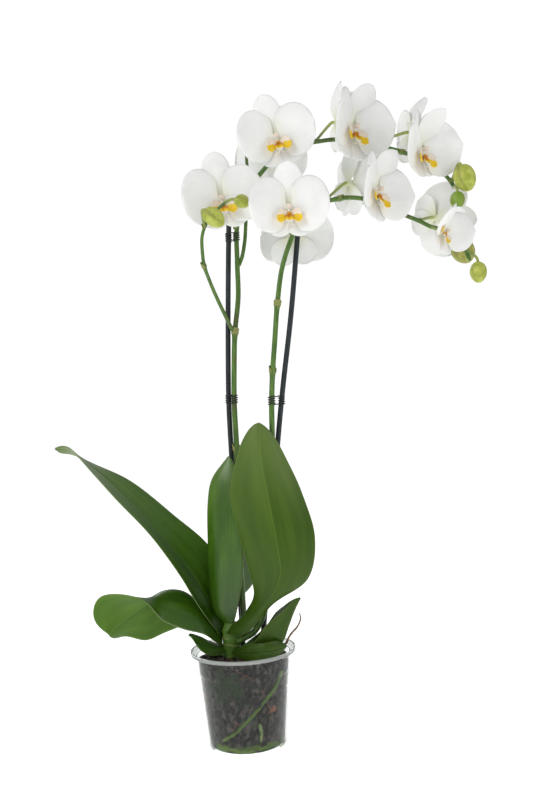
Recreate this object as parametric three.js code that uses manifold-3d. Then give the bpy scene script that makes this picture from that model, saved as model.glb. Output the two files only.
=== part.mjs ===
// A potted moth orchid: a clear nursery pot of bark, seven leaves, two flower spikes held to stakes by wire
// ties, thirteen white blooms and six buds. Millimetres, +Z up, +X to the right, +Y away from the viewer.
// The origin is the centre of the pot's base.

import * as THREE from 'three';
import { mergeVertices } from 'three/addons/utils/BufferGeometryUtils.js';
import Module from 'manifold-3d';

const wasm = await Module();
wasm.setup();

// Clearance between pieces that touch
const gap = 0.3;

// Shorter edges than this that a join or cut leaves are closed up
const sliver = 0.2;

// Pot
const potHeight = 109;
const potBaseRadius = 44;
const potTopRadius = 54;
const wallTop = 103;
const rimRadius = 60;
const rimBand = 3.6;
const potWall = 1.3;
const drainHoles = 6;
const drainRadius = 4;
const drainCircle = 29;

// Growing medium
const mediumTop = 97;
const mediumBottom = 1.8;
const chipCount = 20;

// Crown, stakes and stems
const crownSize = { radiusX: 10.5, radiusY: 7.5 };
const stakeRadius = 3;
const stakeFoot = 14;
const pedicelRadius = 1.6;
const spikeRadius = { base: 3.6, tip: 2.2 };
const shootRadius = { base: 2.3, tip: 1.7 };

// Leaves
const leafThickness = 2.4;
const leafEdge = 1.2;
const leafSteps = 10;
const leafHalfSteps = 2;
const leafCrease = 0.45;

// Rows of a blade lie closer together towards its tip
const rowSpacing = 1.35;
const spacedRows = (steps) => Array.from({ length: steps + 1 }, (_, i) => 1 - (1 - i / steps) ** rowSpacing);

// Blooms: lengths and widths of the tepals
const petalSize = {
  length: 47, halfWidth: 31, claw: 0.1, start: 0.05, broadest: 0.45, power: 0.36, across: 2,
  rows: [0, 0.12, 0.4, 0.76, 1],
};
const sepalForm = { claw: 0.17, broadest: 0.56, across: 1, rows: spacedRows(4) };
const dorsalSize = { length: 49, halfWidth: 16.5, ...sepalForm };
const lateralSize = { length: 36, halfWidth: 16, ...sepalForm };
const tepalThickness = 0.9;
const hubLength = 8;
const hubBack = { y: 6, radius: 2.2 };
const columnRadius = 2.6;
const lipThickness = 0.8;
const budOutline = [
  [0, 0.24], [0.05, 0.5], [0.2, 0.86], [0.42, 1], [0.65, 0.93], [0.84, 0.66], [0.96, 0.3], [1, 0.1],
];

// Ties: how far from a stem's middle the wire runs, the wire's own radius, the rise of a turn
const tie = { reach: 5.5, wire: 0.6, turns: 4, steps: 8, pitch: 2.4 };

const radians = THREE.MathUtils.degToRad;
const vector = (p) => new THREE.Vector3(...p);

// A seeded random number from 0 to 1
function makeRandom(seed) {
  let state = seed;
  return () => {
    state = (state * 1664525 + 1013904223) % 4294967296;
    return state / 4294967296;
  };
}

// ---- solids ----

function geometryFrom(points, faces) {
  const geometry = new THREE.BufferGeometry();
  const positions = points.flatMap((p) => [p.x, p.y, p.z]);
  geometry.setAttribute('position', new THREE.Float32BufferAttribute(positions, 3));
  geometry.setIndex(faces.flat());
  return geometry;
}

// Six times the volume that the faces enclose, below zero where they face inwards
function signedVolume(points, faces) {
  const cross = new THREE.Vector3();
  return faces.reduce((sum, [a, b, c]) => sum + points[a].dot(cross.crossVectors(points[b], points[c])), 0);
}

function closedGeometry(points, faces) {
  const outward = signedVolume(points, faces) > 0;
  return geometryFrom(points, outward ? faces : faces.map(([a, b, c]) => [a, c, b]));
}

function toSolid(geometry) {
  const bare = geometry.clone();
  bare.deleteAttribute('normal');
  bare.deleteAttribute('uv');
  const merged = mergeVertices(bare, 1e-4);
  return new wasm.Manifold(new wasm.Mesh({
    numProp: 3,
    vertProperties: new Float32Array(merged.attributes.position.array),
    triVerts: new Uint32Array(merged.index.array),
  }));
}

function toGeometry(solid) {
  const mesh = solid.simplify(sliver).getMesh();
  const geometry = new THREE.BufferGeometry();
  geometry.setAttribute('position', new THREE.Float32BufferAttribute(mesh.vertProperties, 3));
  geometry.setIndex(new THREE.Uint32BufferAttribute(mesh.triVerts, 1));
  return geometry;
}

const largest = (solid) => solid.decompose().reduce((a, b) => (a.volume() > b.volume() ? a : b));
const joined = (geometries) => geometries.map(toSolid).reduce((all, one) => all.add(one));
const cut = (solid, geometries) => geometries.map(toSolid).reduce((left, one) => left.subtract(one), solid);

// A closed solid through rings of equal point counts, with flat ends
function loft(rings) {
  const sides = rings[0].length;
  const points = rings.flat();
  const faces = [];
  for (let r = 0; r + 1 < rings.length; r += 1) {
    for (let k = 0; k < sides; k += 1) {
      const a = r * sides + k;
      const b = r * sides + (k + 1) % sides;
      faces.push([a, b, b + sides], [a, b + sides, a + sides]);
    }
  }
  const last = (rings.length - 1) * sides;
  for (let k = 1; k + 1 < sides; k += 1) {
    faces.push([0, k + 1, k], [last, last + k, last + k + 1]);
  }
  return closedGeometry(points, faces);
}

function ring(centre, right, up, radiusRight, radiusUp, sides) {
  return Array.from({ length: sides }, (_, k) => {
    const turn = (2 * Math.PI * k) / sides;
    return centre.clone()
      .addScaledVector(right, radiusRight * Math.cos(turn))
      .addScaledVector(up, radiusUp * Math.sin(turn));
  });
}

// A round tapered tube along a curve; radiusAt gives its radius for a share of the length
function tube(curve, radiusAt, steps, sides) {
  const frames = curve.computeFrenetFrames(steps, false);
  const rings = [];
  for (let i = 0; i <= steps; i += 1) {
    const share = i / steps;
    const radius = radiusAt(share);
    rings.push(ring(curve.getPointAt(share), frames.normals[i], frames.binormals[i], radius, radius, sides));
  }
  return loft(rings);
}

const route = (points) => new THREE.CatmullRomCurve3(points.map(vector), false, 'centripetal');

// A thin closed solid on both sides of a surface; across runs from -1 to 1, along from 0 to 1
function blade(surface, thicknessAt, rows, halfSteps) {
  const columns = 2 * halfSteps + 1;
  const top = [];
  const bottom = [];
  rows.forEach((along) => {
    for (let j = 0; j < columns; j += 1) {
      const across = j / halfSteps - 1;
      const [place, normal] = surfacePoint(surface, along, across);
      const half = thicknessAt(along, across) / 2;
      top.push(place.clone().addScaledVector(normal, half));
      bottom.push(place.clone().addScaledVector(normal, -half));
    }
  });
  return closedGeometry([...top, ...bottom], bladeFaces(rows.length - 1, columns));
}

function surfacePoint(surface, along, across) {
  const nudge = 1e-3;
  const [low, high] = [Math.max(along - nudge, 0), Math.min(along + nudge, 1)];
  const [left, right] = [Math.max(across - nudge, -1), Math.min(across + nudge, 1)];
  const lengthways = surface(high, across).sub(surface(low, across));
  const sideways = surface(along, right).sub(surface(along, left));
  return [surface(along, across), lengthways.cross(sideways).normalize()];
}

// Both faces are split along the same diagonals, and strips close the edge
function bladeFaces(steps, columns) {
  const under = (steps + 1) * columns;
  const faces = [];
  for (let i = 0; i < steps; i += 1) {
    for (let j = 0; j + 1 < columns; j += 1) {
      const a = i * columns + j;
      const c = a + columns + 1;
      faces.push([a, a + 1, c], [a, c, a + columns]);
      faces.push([under + a, under + c, under + a + 1], [under + a, under + a + columns, under + c]);
    }
  }
  const border = [];
  for (let j = 0; j < columns; j += 1) border.push(j);
  for (let i = 1; i <= steps; i += 1) border.push(i * columns + columns - 1);
  for (let j = columns - 2; j >= 0; j -= 1) border.push(steps * columns + j);
  for (let i = steps - 1; i > 0; i -= 1) border.push(i * columns);
  border.forEach((a, k) => {
    const b = border[(k + 1) % border.length];
    faces.push([b, a, a + under], [b, a + under, b + under]);
  });
  return faces;
}

// ---- materials ----

function finish(color, roughness, extra = {}) {
  return new THREE.MeshStandardMaterial({ color, roughness, metalness: 0, ...extra });
}

const materials = {
  clearPlastic: finish('#c9cdc6', 0.2, { transparent: true, opacity: 0.35 }),
  bark: finish('#4a3a2c', 0.9),
  crown: finish('#c4cf9c', 0.6),
  leaf: finish('#2f4a26', 0.35),
  spike: finish('#6f8a45', 0.5),
  stake: finish('#1d241f', 0.5),
  wire: finish('#1b1c1a', 0.5),
  tepal: finish('#f4f3ee', 0.6),
  lip: finish('#f0dc8a', 0.55),
  bud: finish('#c5cf95', 0.55),
  greenRoot: finish('#7d9440', 0.5),
  paleRoot: finish('#cfcdb8', 0.7),
  dryRoot: finish('#8a6a4a', 0.85),
};

const orchid = new THREE.Group();

function addPiece(name, geometry, material, parent = orchid) {
  const mesh = new THREE.Mesh(geometry, material);
  mesh.name = name;
  parent.add(mesh);
  return mesh;
}

// ---- pot ----

// The outside of the wall from the base up to the rim's flare
const wallRadiusAt = (z) => potBaseRadius + ((potTopRadius - potBaseRadius) * z) / wallTop;

function turned(profile) {
  const points = profile.map(([r, z]) => new THREE.Vector2(r, z));
  return new THREE.LatheGeometry(points, 32).rotateX(Math.PI / 2);
}

function potGeometry() {
  const ridge = 85;
  const outside = [
    [0, 0], [potBaseRadius - 2.5, 0], [potBaseRadius - 0.6, 0.8], [wallRadiusAt(3), 3],
    [wallRadiusAt(ridge) - 0.5, ridge - 2], [wallRadiusAt(ridge) + 0.5, ridge],
    [wallRadiusAt(wallTop), wallTop], [rimRadius - 1, potHeight - rimBand - 0.6], [rimRadius, potHeight - rimBand],
    [rimRadius, potHeight - 0.5], [rimRadius - 0.6, potHeight], [rimRadius - 1.6, potHeight],
  ];
  const inside = [
    [rimRadius - 2, potHeight - rimBand + 1.2], [wallRadiusAt(wallTop) - potWall, wallTop + 1],
    [wallRadiusAt(ridge) + 0.5 - potWall, ridge], [wallRadiusAt(ridge) - 0.5 - potWall, ridge - 2],
    [wallRadiusAt(4) - potWall, 4], [potBaseRadius - 4, 1.4], [0, 1.4],
  ];
  const holes = Array.from({ length: drainHoles }, (_, k) => {
    const turn = (2 * Math.PI * (k + 0.5)) / drainHoles;
    const hole = new THREE.CylinderGeometry(drainRadius, drainRadius, 8, 10).rotateX(Math.PI / 2);
    return hole.translate(drainCircle * Math.cos(turn), drainCircle * Math.sin(turn), 0);
  });
  return toGeometry(cut(toSolid(turned([...outside, ...inside])), holes));
}

// ---- stems, stakes and roots: their routes ----

const crownRoute = route([[-18, 0, 84], [-17, 0, 100], [-13, 0, 112], [-12, 0, 126], [-12, 0, 139]]);
const stakeRoutes = {
  left: route([
    [0, 19, stakeFoot], [-1, 19.5, 147], [-2.5, 19.5, 327], [-2.5, 19.5, 388], [-1, 19, 429], [3, 19, 508],
    [9, 19, 607],
  ]),
  right: route([
    [9, -6, stakeFoot], [25, -8, 133], [52, -13, 344], [61, -13, 405], [74, -13, 484], [89, -12, 594],
  ]),
};

const leftSpikeRoute = route([
  [-5, 3, 124], [1, 7, 138], [2, 8, 165], [1, 8, 230], [2, 10, 290], [4, 13, 334], [4, 15, 387], [6, 15, 429],
  [9, 15, 469], [15, 15, 511], [16, 15, 553], [18, 16, 593], [29, 17, 629], [50, 18, 655], [66, 18, 670],
  [92, 18, 683], [119, 18, 687], [139, 18, 688], [171, 18, 683], [198, 18, 675], [215, 18, 669],
  [245, 16, 655], [262, 12, 638], [270, 8, 624],
]);
const leftShootRoute = route([
  [9, 15, 470], [6, 12, 474], [-1, 4, 490], [-10, -8, 512], [-16, -18, 529], [-20, -26, 543], [-21, -31, 558],
  [-20, -35, 575], [-14, -37, 589], [0, -38, 604], [9, -40, 610],
]);
const rightShootRoute = route([
  [17, 15, 546], [22, 18, 558], [26, 21, 577], [28, 24, 596], [31, 27, 625], [33, 29, 660], [31, 30, 691],
  [24, 30, 706],
]);
const rightSpikeRoute = route([
  [-6, -4, 117], [4, -9, 123], [15, -15, 131], [26, -21, 152], [31, -23, 170], [37, -25, 212], [43, -26, 278],
  [46, -22, 357], [47, -21, 385], [50, -21, 421], [54, -21, 454], [59, -21, 495], [67, -21, 538],
  [81, -20, 574], [93, -18, 595], [108, -16, 609], [125, -15, 611], [142, -15, 613], [156, -15, 612],
  [172, -15, 608], [190, -15, 601], [210, -15, 589], [223, -15, 583], [236, -14, 576], [248, -9, 573],
  [263, -11, 562], [273, -17, 548], [278, -20, 534],
]);

const greenRootRoute = route([
  [42, -23, 88], [37, -29, 77], [29, -35, 66], [19, -39.5, 56], [8, -42, 45], [-3, -42, 34], [-14, -39, 24],
  [-26, -32.5, 15],
]);
const paleRootRoute = route([[13.2, -41.2, 37], [16.5, -39.6, 27], [15.5, -38.6, 14]]);
const dryRootRoute = route([
  [40, -3, 96], [44, -8, 108], [50, -14, 116], [54, -16, 124], [63, -17, 134], [67, -18, 143], [66, -18, 149],
]);

const crownRadiusAt = (share) => Math.min(1, 0.62 + share * 1.1);

function crownBody(margin) {
  const steps = 6;
  const rings = [];
  for (let i = 0; i <= steps; i += 1) {
    const share = i / steps;
    const size = crownRadiusAt(share) * (i === steps ? 0.8 : 1);
    const centre = crownRoute.getPointAt(share);
    centre.z += i === steps ? margin : 0;
    centre.z -= i === 0 ? margin : 0;
    rings.push(ring(
      centre, vector([1, 0, 0]), vector([0, 1, 0]),
      crownSize.radiusX * size + margin, crownSize.radiusY * size + margin, 14,
    ));
  }
  return loft(rings);
}

// The crown, with a seat for each spike
function crownGeometry() {
  const seats = [leftSpikeRoute, rightSpikeRoute].map((curve) => spikeBody(curve, gap));
  return toGeometry(cut(toSolid(crownBody(0)), seats));
}

const tapered = ({ base, tip }, margin = 0) => (share) => base + (tip - base) * share + margin;
const spikeBody = (curve, margin = 0) => tube(curve, tapered(spikeRadius, margin), 30, 7);
const stakeBody = (curve, margin = 0) => tube(curve, () => stakeRadius + margin, 6, 10);
const rootBody = (curve, radius, margin = 0) => tube(curve, (share) => (
  radius * (1 - 0.35 * share ** 3) + margin), 9, 6);

const roots = {
  green: { curve: greenRootRoute, radius: 2.3, material: materials.greenRoot },
  pale: { curve: paleRootRoute, radius: 1.9, material: materials.paleRoot },
  dry: { curve: dryRootRoute, radius: 2, material: materials.dryRoot },
};

// A root that lies round the pot's bottom, just inside its wall
const ringRoot = { circle: 37.4, height: 7.8, radius: 3.6, from: 200, to: 345 };

function ringRootRoute() {
  const points = [];
  const steps = 10;
  for (let i = 0; i <= steps; i += 1) {
    const turn = radians(ringRoot.from + ((ringRoot.to - ringRoot.from) * i) / steps);
    const rise = 2.4 * Math.sin((Math.PI * i) / steps);
    points.push([
      ringRoot.circle * Math.cos(turn), ringRoot.circle * Math.sin(turn), ringRoot.height - rise,
    ]);
  }
  return route(points);
}
roots.ring = { curve: ringRootRoute(), radius: ringRoot.radius, material: materials.greenRoot };

// ---- growing medium ----

function barkChip(random) {
  const [length, width, height] = [9 + 8 * random(), 6 + 4 * random(), 4 + 2.5 * random()];
  const chip = new THREE.BoxGeometry(length, width, height);
  const distance = 44 * Math.sqrt(random());
  const turn = 2 * Math.PI * random();
  chip.rotateX(0.5 * (random() - 0.5));
  chip.rotateY(0.7 * (random() - 0.5));
  chip.rotateZ(Math.PI * random());
  return chip.translate(distance * Math.cos(turn), distance * Math.sin(turn), mediumTop - 0.5 + 2 * random());
}

function mediumGeometry() {
  const random = makeRandom(7);
  const chips = Array.from({ length: chipCount }, () => barkChip(random));
  const innerRadius = (z) => wallRadiusAt(z) - potWall - 0.5 - gap;
  const upTo = (top) => turned([
    [0, mediumBottom], [potBaseRadius - 5, mediumBottom], [innerRadius(5), 5], [innerRadius(top), top], [0, top],
  ]);
  const body = upTo(mediumTop);
  const room = upTo(wallTop);
  const filled = joined([body, ...chips]).intersect(toSolid(room));
  const cutBody = cut(filled, [
    crownBody(gap),
    stakeBody(stakeRoutes.left, gap),
    stakeBody(stakeRoutes.right, gap),
    ...Object.values(roots).map(({ curve, radius }) => rootBody(curve, radius, gap)),
  ]);
  return toGeometry(largest(cutBody));
}

// ---- leaves ----

// Each station holds the near edge, the midrib and the far edge, from the crown to the tip. The last one's
// edges only give the direction in which the rounded tip closes.
const leafShapes = {
  leaf_long_left: [
    [[-24, -3, 122], [-23, 4, 127], [-17, 9, 132]],
    [[-47, -21, 164], [-41, 9, 167], [-24, 28, 188]],
    [[-65, -25, 199], [-60, 13, 199], [-34, 36, 219]],
    [[-97, -17, 245], [-95, 20, 246], [-76, 46, 259]],
    [[-137, -2, 287], [-136, 30, 291], [-127, 54, 302]],
    [[-168, 14, 320], [-169, 38, 321], [-166, 58, 322]],
    [[-193, 30, 346], [-196, 46, 342], [-199, 60, 337]],
    [[-209, 36, 352], [-213, 48, 345], [-214, 60, 336]],
  ],
  leaf_lower_left: [
    [[-24, -7, 113], [-24, -1, 119], [-22, 6, 125]],
    [[-42, -24, 132], [-42, 2, 153], [-42, 24, 128]],
    [[-64, -26, 139], [-65, 6, 175], [-64, 30, 131]],
    [[-87, -27, 151], [-89, 5, 177], [-90, 28, 125]],
    [[-109, -30, 176], [-108, 4, 165], [-114, 26, 117]],
    [[-154, -24, 181], [-135, 2, 148], [-138, 18, 124]],
    [[-185, -16, 158], [-153, -3, 134], [-152, 9, 116]],
  ],
  leaf_upright: [
    [[-8, -4.8, 139.5], [-15, -0.5, 136], [-10, 6, 140]],
    [[-3, -10, 158], [-29, 0, 152], [-14, 20, 150]],
    [[5, -13, 201], [-34, 5, 198], [14, 40, 174]],
    [[7, -13, 225], [-33, 7, 232], [20, 43, 209]],
    [[8, -11, 262], [-31, 8, 273], [20, 41, 250]],
    [[7, -6, 296], [-25, 8, 301], [3, 33, 290]],
    [[8, 0, 322], [-5, 6, 327], [-9, 21, 318]],
  ],
  leaf_front: [
    [[-7, -6, 139], [-13, -7, 133], [-18, -6, 127]],
    [[6, -13, 153], [2, -20, 142], [5, -26, 131]],
    [[16, -24, 172], [25, -38, 161], [37, -37, 165]],
    [[15, -30, 190], [46, -51, 197], [77, -37, 191]],
    [[4, -30, 240], [44, -53, 237], [87, -35, 235]],
    [[-4, -28, 286], [37, -49, 286], [75, -33, 286]],
    [[4, -26, 329], [32, -42, 327], [60, -31, 327]],
    [[8, -26, 362], [31, -34, 365], [54, -30, 360]],
  ],
  leaf_folded_right: [
    [[-7, -12, 109], [-7, -9, 106], [-4, -8, 110]],
    [[14, -32, 123], [20, -27, 109], [20, -15, 129]],
    [[28, -38, 142], [43, -32, 119], [31, -20, 141]],
    [[42, -41, 153], [53, -35, 140], [40, -26, 153]],
    [[54, -41, 163], [60, -37, 157], [51, -32, 163]],
    [[63, -41, 173], [67, -38, 170], [61, -35, 172]],
  ],
  leaf_front_short: [
    [[-11, -9, 107], [-10, -10, 104], [-10, -11, 102]],
    [[7, -34, 121], [8, -37, 112], [8, -36, 103]],
    [[24, -45, 124], [24, -46.5, 115], [24, -45, 105]],
    [[37, -41, 125], [38, -42.5, 116], [37, -41, 107]],
    [[48, -34, 122], [49, -33, 117], [48, -33, 111]],
  ],
  leaf_left_short: [
    [[-20, -7, 106], [-21, -3, 109], [-23, 1, 112]],
    [[-33, -25, 108], [-36, -16, 117], [-41, -7, 122]],
    [[-45, -33, 116], [-47, -22, 125], [-51, -13, 129]],
    [[-55, -33, 130], [-58, -26, 133], [-60, -18, 134]],
  ],
};
const leafTipStart = 0.78;

// Smooth curves through the near edges, the middles and the far edges of the stations
const railsOf = (stations) => [0, 1, 2].map((k) => (
  new THREE.CatmullRomCurve3(stations.map((station) => vector(station[k])))));

function leafSurface(stations) {
  const rails = railsOf(stations);
  return (along, across) => {
    const [near, rib, far] = rails.map((rail) => rail.getPoint(along));
    const edge = across < 0 ? near : far;
    const bend = Math.abs(across);
    const folded = rib.clone().lerp(edge, bend);
    const curved = rib.clone().multiplyScalar(1 - across * across)
      .addScaledVector(near, (across * across - across) / 2)
      .addScaledVector(far, (across * across + across) / 2);
    const place = curved.lerp(folded, leafCrease);
    return rib.lerp(place, tipWidth(along, leafTipStart));
  };
}

// Narrows a blade to a round tip past start
function tipWidth(along, start) {
  const past = Math.max(0, (along - start) / (1 - start));
  return Math.max(0.07, Math.sqrt(1 - Math.min(1, past) ** 2.2));
}

function leafGeometry(stations) {
  const thicknessAt = (along, across) => leafThickness + (leafEdge - leafThickness) * across * across;
  const leaf = blade(leafSurface(stations), thicknessAt, spacedRows(leafSteps), leafHalfSteps);
  return toGeometry(cut(toSolid(leaf), [crownBody(gap)]));
}

// ---- blooms and buds ----

// Places are the centres of the blooms, where the tepals meet. Yaw turns a bloom's face to the right of the
// viewer, pitch down, and roll clockwise as the viewer sees it. Spread, dorsal and laterals are the turns of the
// petals, the upper sepal and the lower sepals; nod is how far the upper sepal leans forward.
const bloomPlaces = [
  {
    name: 'bloom_01', at: [68, -11, 686], yaw: 0, pitch: -6, roll: -11, spread: [7, 170], dorsal: 97,
    laterals: [-52, -115], stem: 'left', from: [64, 18, 668],
  },
  {
    name: 'bloom_02', at: [2, -11, 620], yaw: 8, pitch: -4, roll: -7, scale: 1.05, spread: [5, 173],
    stem: 'left', from: [18, 16, 588],
  },
  { name: 'bloom_03', at: [77, -43, 600], yaw: 0, pitch: -4, roll: 0, stem: 'right', from: [80, -20, 572] },
  {
    name: 'bloom_04', at: [155, -3, 695], yaw: 40, pitch: -2, roll: 13, tilt: 18, scale: 1.07,
    spread: [16, 173], dorsal: 82, nod: 14, laterals: [-62, -106], stem: 'left', from: [158, 18, 686],
  },
  {
    name: 'bloom_05', at: [174, -37, 615], yaw: 47, pitch: -2, roll: 21, tilt: 15, spread: [12, 178],
    dorsal: 88, nod: 9, laterals: [-62, -98], stem: 'right', from: [172, -15, 608],
  },
  {
    name: 'bloom_06', at: [231, -6, 664], yaw: 42, pitch: -2, roll: 12, tilt: 18, scale: 1.05,
    spread: [20, 168], dorsal: 92, nod: 26, laterals: [-40, -95], short: 0.85, stem: 'left', from: [222, 18, 667],
  },
  {
    name: 'bloom_07', at: [252, 34, 594], yaw: 134, pitch: 0, roll: -103, tilt: 12, spread: [10, 158],
    laterals: [-57, -112], stem: 'right', from: [223, -15, 583],
  },
  {
    name: 'bloom_08', at: [248, -33, 566], yaw: 45, pitch: 0, roll: 57, tilt: 28, scale: 0.72,
    spread: [55, 180], dorsal: 105, laterals: [-35, -80], stem: 'right', from: [237, -14, 576],
  },
  { name: 'bloom_09', at: [61, 50, 681], yaw: 176, pitch: 0, roll: 0, stem: 'left', from: [68, 18, 671] },
  {
    name: 'bloom_10', at: [82, 10, 576], yaw: 165, pitch: 0, roll: 0, spread: [14, 175],
    stem: 'right', from: [67, -21, 538],
  },
  {
    name: 'bloom_11', at: [144, 54, 718], yaw: 110, pitch: 0, roll: 0, tilt: 25, nod: -4,
    stem: 'left', from: [113, 18, 686],
  },
  {
    name: 'bloom_12', at: [153, 30, 639], yaw: 125, pitch: 0, roll: 0, scale: 1.05, spread: [-4, 172],
    laterals: [-38, -98], stem: 'right', from: [118, -15, 610],
  },
  {
    name: 'bloom_13', at: [231, 46, 699], yaw: 122, pitch: 0, roll: 0, tilt: 8, nod: 15, spread: [5, 215],
    laterals: [-62, -100], stem: 'left', from: [180, 18, 681],
  },
];

const budPlaces = [
  { name: 'bud_01', base: [-15, -49, 600], tip: [5, -56, 582], width: 20, stem: 'left', from: [-17, -37, 583] },
  { name: 'bud_02', base: [18, -41, 612], tip: [35, -43, 606], width: 15, stem: 'left', from: [7, -40, 609] },
  { name: 'bud_03', base: [276, -6, 645], tip: [283, -11, 614], width: 25, stem: 'left', from: [267, 10, 629] },
  { name: 'bud_04', base: [270, -8, 614], tip: [268, -14, 595], width: 17, stem: 'left', from: [270, 8, 625] },
  { name: 'bud_05', base: [270, 6, 562], tip: [284, 10, 536], width: 27, stem: 'right', from: [258, -10, 566] },
  { name: 'bud_06', base: [286, -22, 532], tip: [285, -26, 508], width: 19, stem: 'right', from: [274, -18, 547] },
];

// A tepal's half width along its length: a claw, its broadest place and a round end
function tepalWidth(size, along) {
  if (along < size.broadest) {
    const { start = 0, power = 1 } = size;
    const share = Math.max(0, (along - start) / (size.broadest - start)) ** power;
    return size.halfWidth * (size.claw + (1 - size.claw) * Math.sin((Math.PI / 2) * share));
  }
  const past = (along - size.broadest) / (1 - size.broadest);
  return size.halfWidth * Math.sqrt(Math.max(0.02, 1 - past * past));
}

// A tepal in the bloom's own frame: x to the right, z up, the face towards -y. It starts at the depth back and
// is tilted forward; it curls forward by cup towards its tip, and its edges bend back by arch.
function tepalSurface(size, turn, { back, tilt, cup, arch }) {
  const [lean, upright] = [Math.sin(radians(tilt)), Math.cos(radians(tilt))];
  const axis = vector([Math.cos(turn) * upright, -lean, Math.sin(turn) * upright]);
  const face = vector([-Math.cos(turn) * lean, -upright, -Math.sin(turn) * lean]);
  const side = vector([-Math.sin(turn), 0, Math.cos(turn)]);
  return (along, across) => axis.clone().multiplyScalar(size.length * (0.03 + 0.97 * along))
    .addScaledVector(side, tepalWidth(size, along) * across)
    .addScaledVector(face, cup * along * along - arch * across * across * along)
    .add(vector([0, back, 0]));
}

const tepal = (size, degrees, form) => (
  blade(tepalSurface(size, radians(degrees), form), () => tepalThickness, size.rows, size.across));

// The cone behind the tepals that meets the pedicel, and the column in front of them
function bloomCore() {
  const cone = new THREE.CylinderGeometry(hubBack.radius, 5, hubLength, 5);
  const column = new THREE.CylinderGeometry(2.2, columnRadius, 10, 5);
  return [cone.translate(0, hubBack.y - hubLength / 2, 0), column.translate(0, -5, 0)];
}

const bloomForm = { tilt: 13, spread: [5, 175], dorsal: 90, laterals: [-57, -123], scale: 1, short: 1 };

function tepalsGeometry(random, own) {
  const { tilt, spread, dorsal, laterals, scale, short, nod = tilt * 0.3 } = { ...bloomForm, ...own };
  const vary = (amount) => amount * (random() - 0.5);
  const petal = (degrees) => tepal(petalSize, degrees + vary(3), {
    back: -1.6, tilt: tilt + vary(3), cup: 11 + vary(3), arch: 4,
  });
  const sepal = (size, degrees, lean, cup) => tepal(size, degrees, {
    back: 1.6, tilt: lean, cup: cup + vary(3), arch: 2,
  });
  const lateral = { ...lateralSize, length: lateralSize.length * short };
  const tepals = joined([
    ...bloomCore(),
    ...spread.map(petal),
    sepal(dorsalSize, dorsal + vary(4), nod, 13),
    ...laterals.map((degrees) => sepal(lateral, degrees + vary(5), tilt * 0.15, 3)),
  ]);
  return toGeometry(tepals.scale(scale));
}

// The lip hangs from the foot of the column: a middle lobe and a lobe on each side that turns up.
// Each lobe's station holds one edge, the middle and the other edge, from its foot to its tip.
const lipLobes = {
  side: [
    [[1, -6.5, -12], [1.2, -5.5, -9], [1, -4.4, -6]],
    [[5, -9, -16.5], [6, -7, -11], [4.8, -6, -3.5]],
    [[9.5, -11.5, -19], [11, -9.5, -12.5], [8.8, -8.8, -2.8]],
    [[13.4, -13.5, -17], [13.6, -12.5, -13], [12.4, -11, -6]],
  ],
  middle: [
    [[-1.6, -6.8, -9], [0, -6.8, -9], [1.6, -6.8, -9]],
    [[-4.6, -10.4, -14.5], [0, -9.2, -14.5], [4.6, -10.4, -14.5]],
    [[-1.6, -12.6, -20], [0, -12.4, -20], [1.6, -12.6, -20]],
  ],
};
const lipRows = [0, 0.5, 1];

function lipLobe(stations, hand = 1) {
  const rails = railsOf(stations);
  const surface = (along, across) => {
    const [low, middle, high] = rails.map((rail) => rail.getPoint(along));
    const place = middle.multiplyScalar(1 - across * across)
      .addScaledVector(low, (across * across - across) / 2)
      .addScaledVector(high, (across * across + across) / 2);
    place.x *= hand;
    return place;
  };
  return blade(surface, () => lipThickness, lipRows, 1);
}

function lipGeometry(scale = 1) {
  const claw = route([[0, -4.2, -3.3], [0, -5, -6.5], [0, -7, -9.3]]);
  return toGeometry(joined([
    tube(claw, () => 1.6, 2, 5),
    lipLobe(lipLobes.middle),
    lipLobe(lipLobes.side),
    lipLobe(lipLobes.side, -1),
  ]).scale(scale));
}

// A bud: an egg on its pedicel's end, blunt at the base and a little pointed at the tip, along +z
function budGeometry({ length, width }) {
  const rings = budOutline.map(([along, share]) => ring(
    vector([0, 0, along * length]), vector([1, 0, 0]), vector([0, 1, 0]), (share * width) / 2, (share * width) / 2, 8,
  ));
  return loft(rings);
}

const pedicelEnds = { left: [], right: [] };

function placeBloom({ name, at, yaw, pitch, roll, stem, from, ...form }, index) {
  const spot = new THREE.Group();
  spot.position.set(...at);
  spot.rotation.set(radians(pitch), radians(roll), radians(yaw), 'ZXY');
  orchid.add(spot);
  spot.updateMatrixWorld(true);
  addPiece(name, tepalsGeometry(makeRandom(100 + index), form), materials.tepal, spot);
  addPiece(name.replace('bloom', 'lip'), lipGeometry(form.scale), materials.lip, spot);
  const end = spot.localToWorld(vector([0, hubBack.y * (form.scale ?? 1) + gap, 0]));
  const away = spot.localToWorld(vector([0, hubLength + hubBack.y, 0])).sub(end).normalize();
  pedicelEnds[stem].push({ from: vector(from), end, away, radius: hubBack.radius - 0.2, bend: 0.1 });
}

// A bud's long axis runs from the end of its pedicel to its tip
function placeBud({ name, base, tip, width, stem, from }) {
  const axis = vector(tip).sub(vector(base));
  const spot = new THREE.Group();
  spot.position.set(...base);
  spot.quaternion.setFromUnitVectors(vector([0, 0, 1]), axis.clone().normalize());
  orchid.add(spot);
  addPiece(name, budGeometry({ length: axis.length(), width }), materials.bud, spot);
  const away = axis.normalize().negate();
  pedicelEnds[stem].push({
    from: vector(from), end: vector(base).addScaledVector(away, gap), away, radius: pedicelRadius + 0.1,
    bend: 0.4,
  });
}

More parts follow.
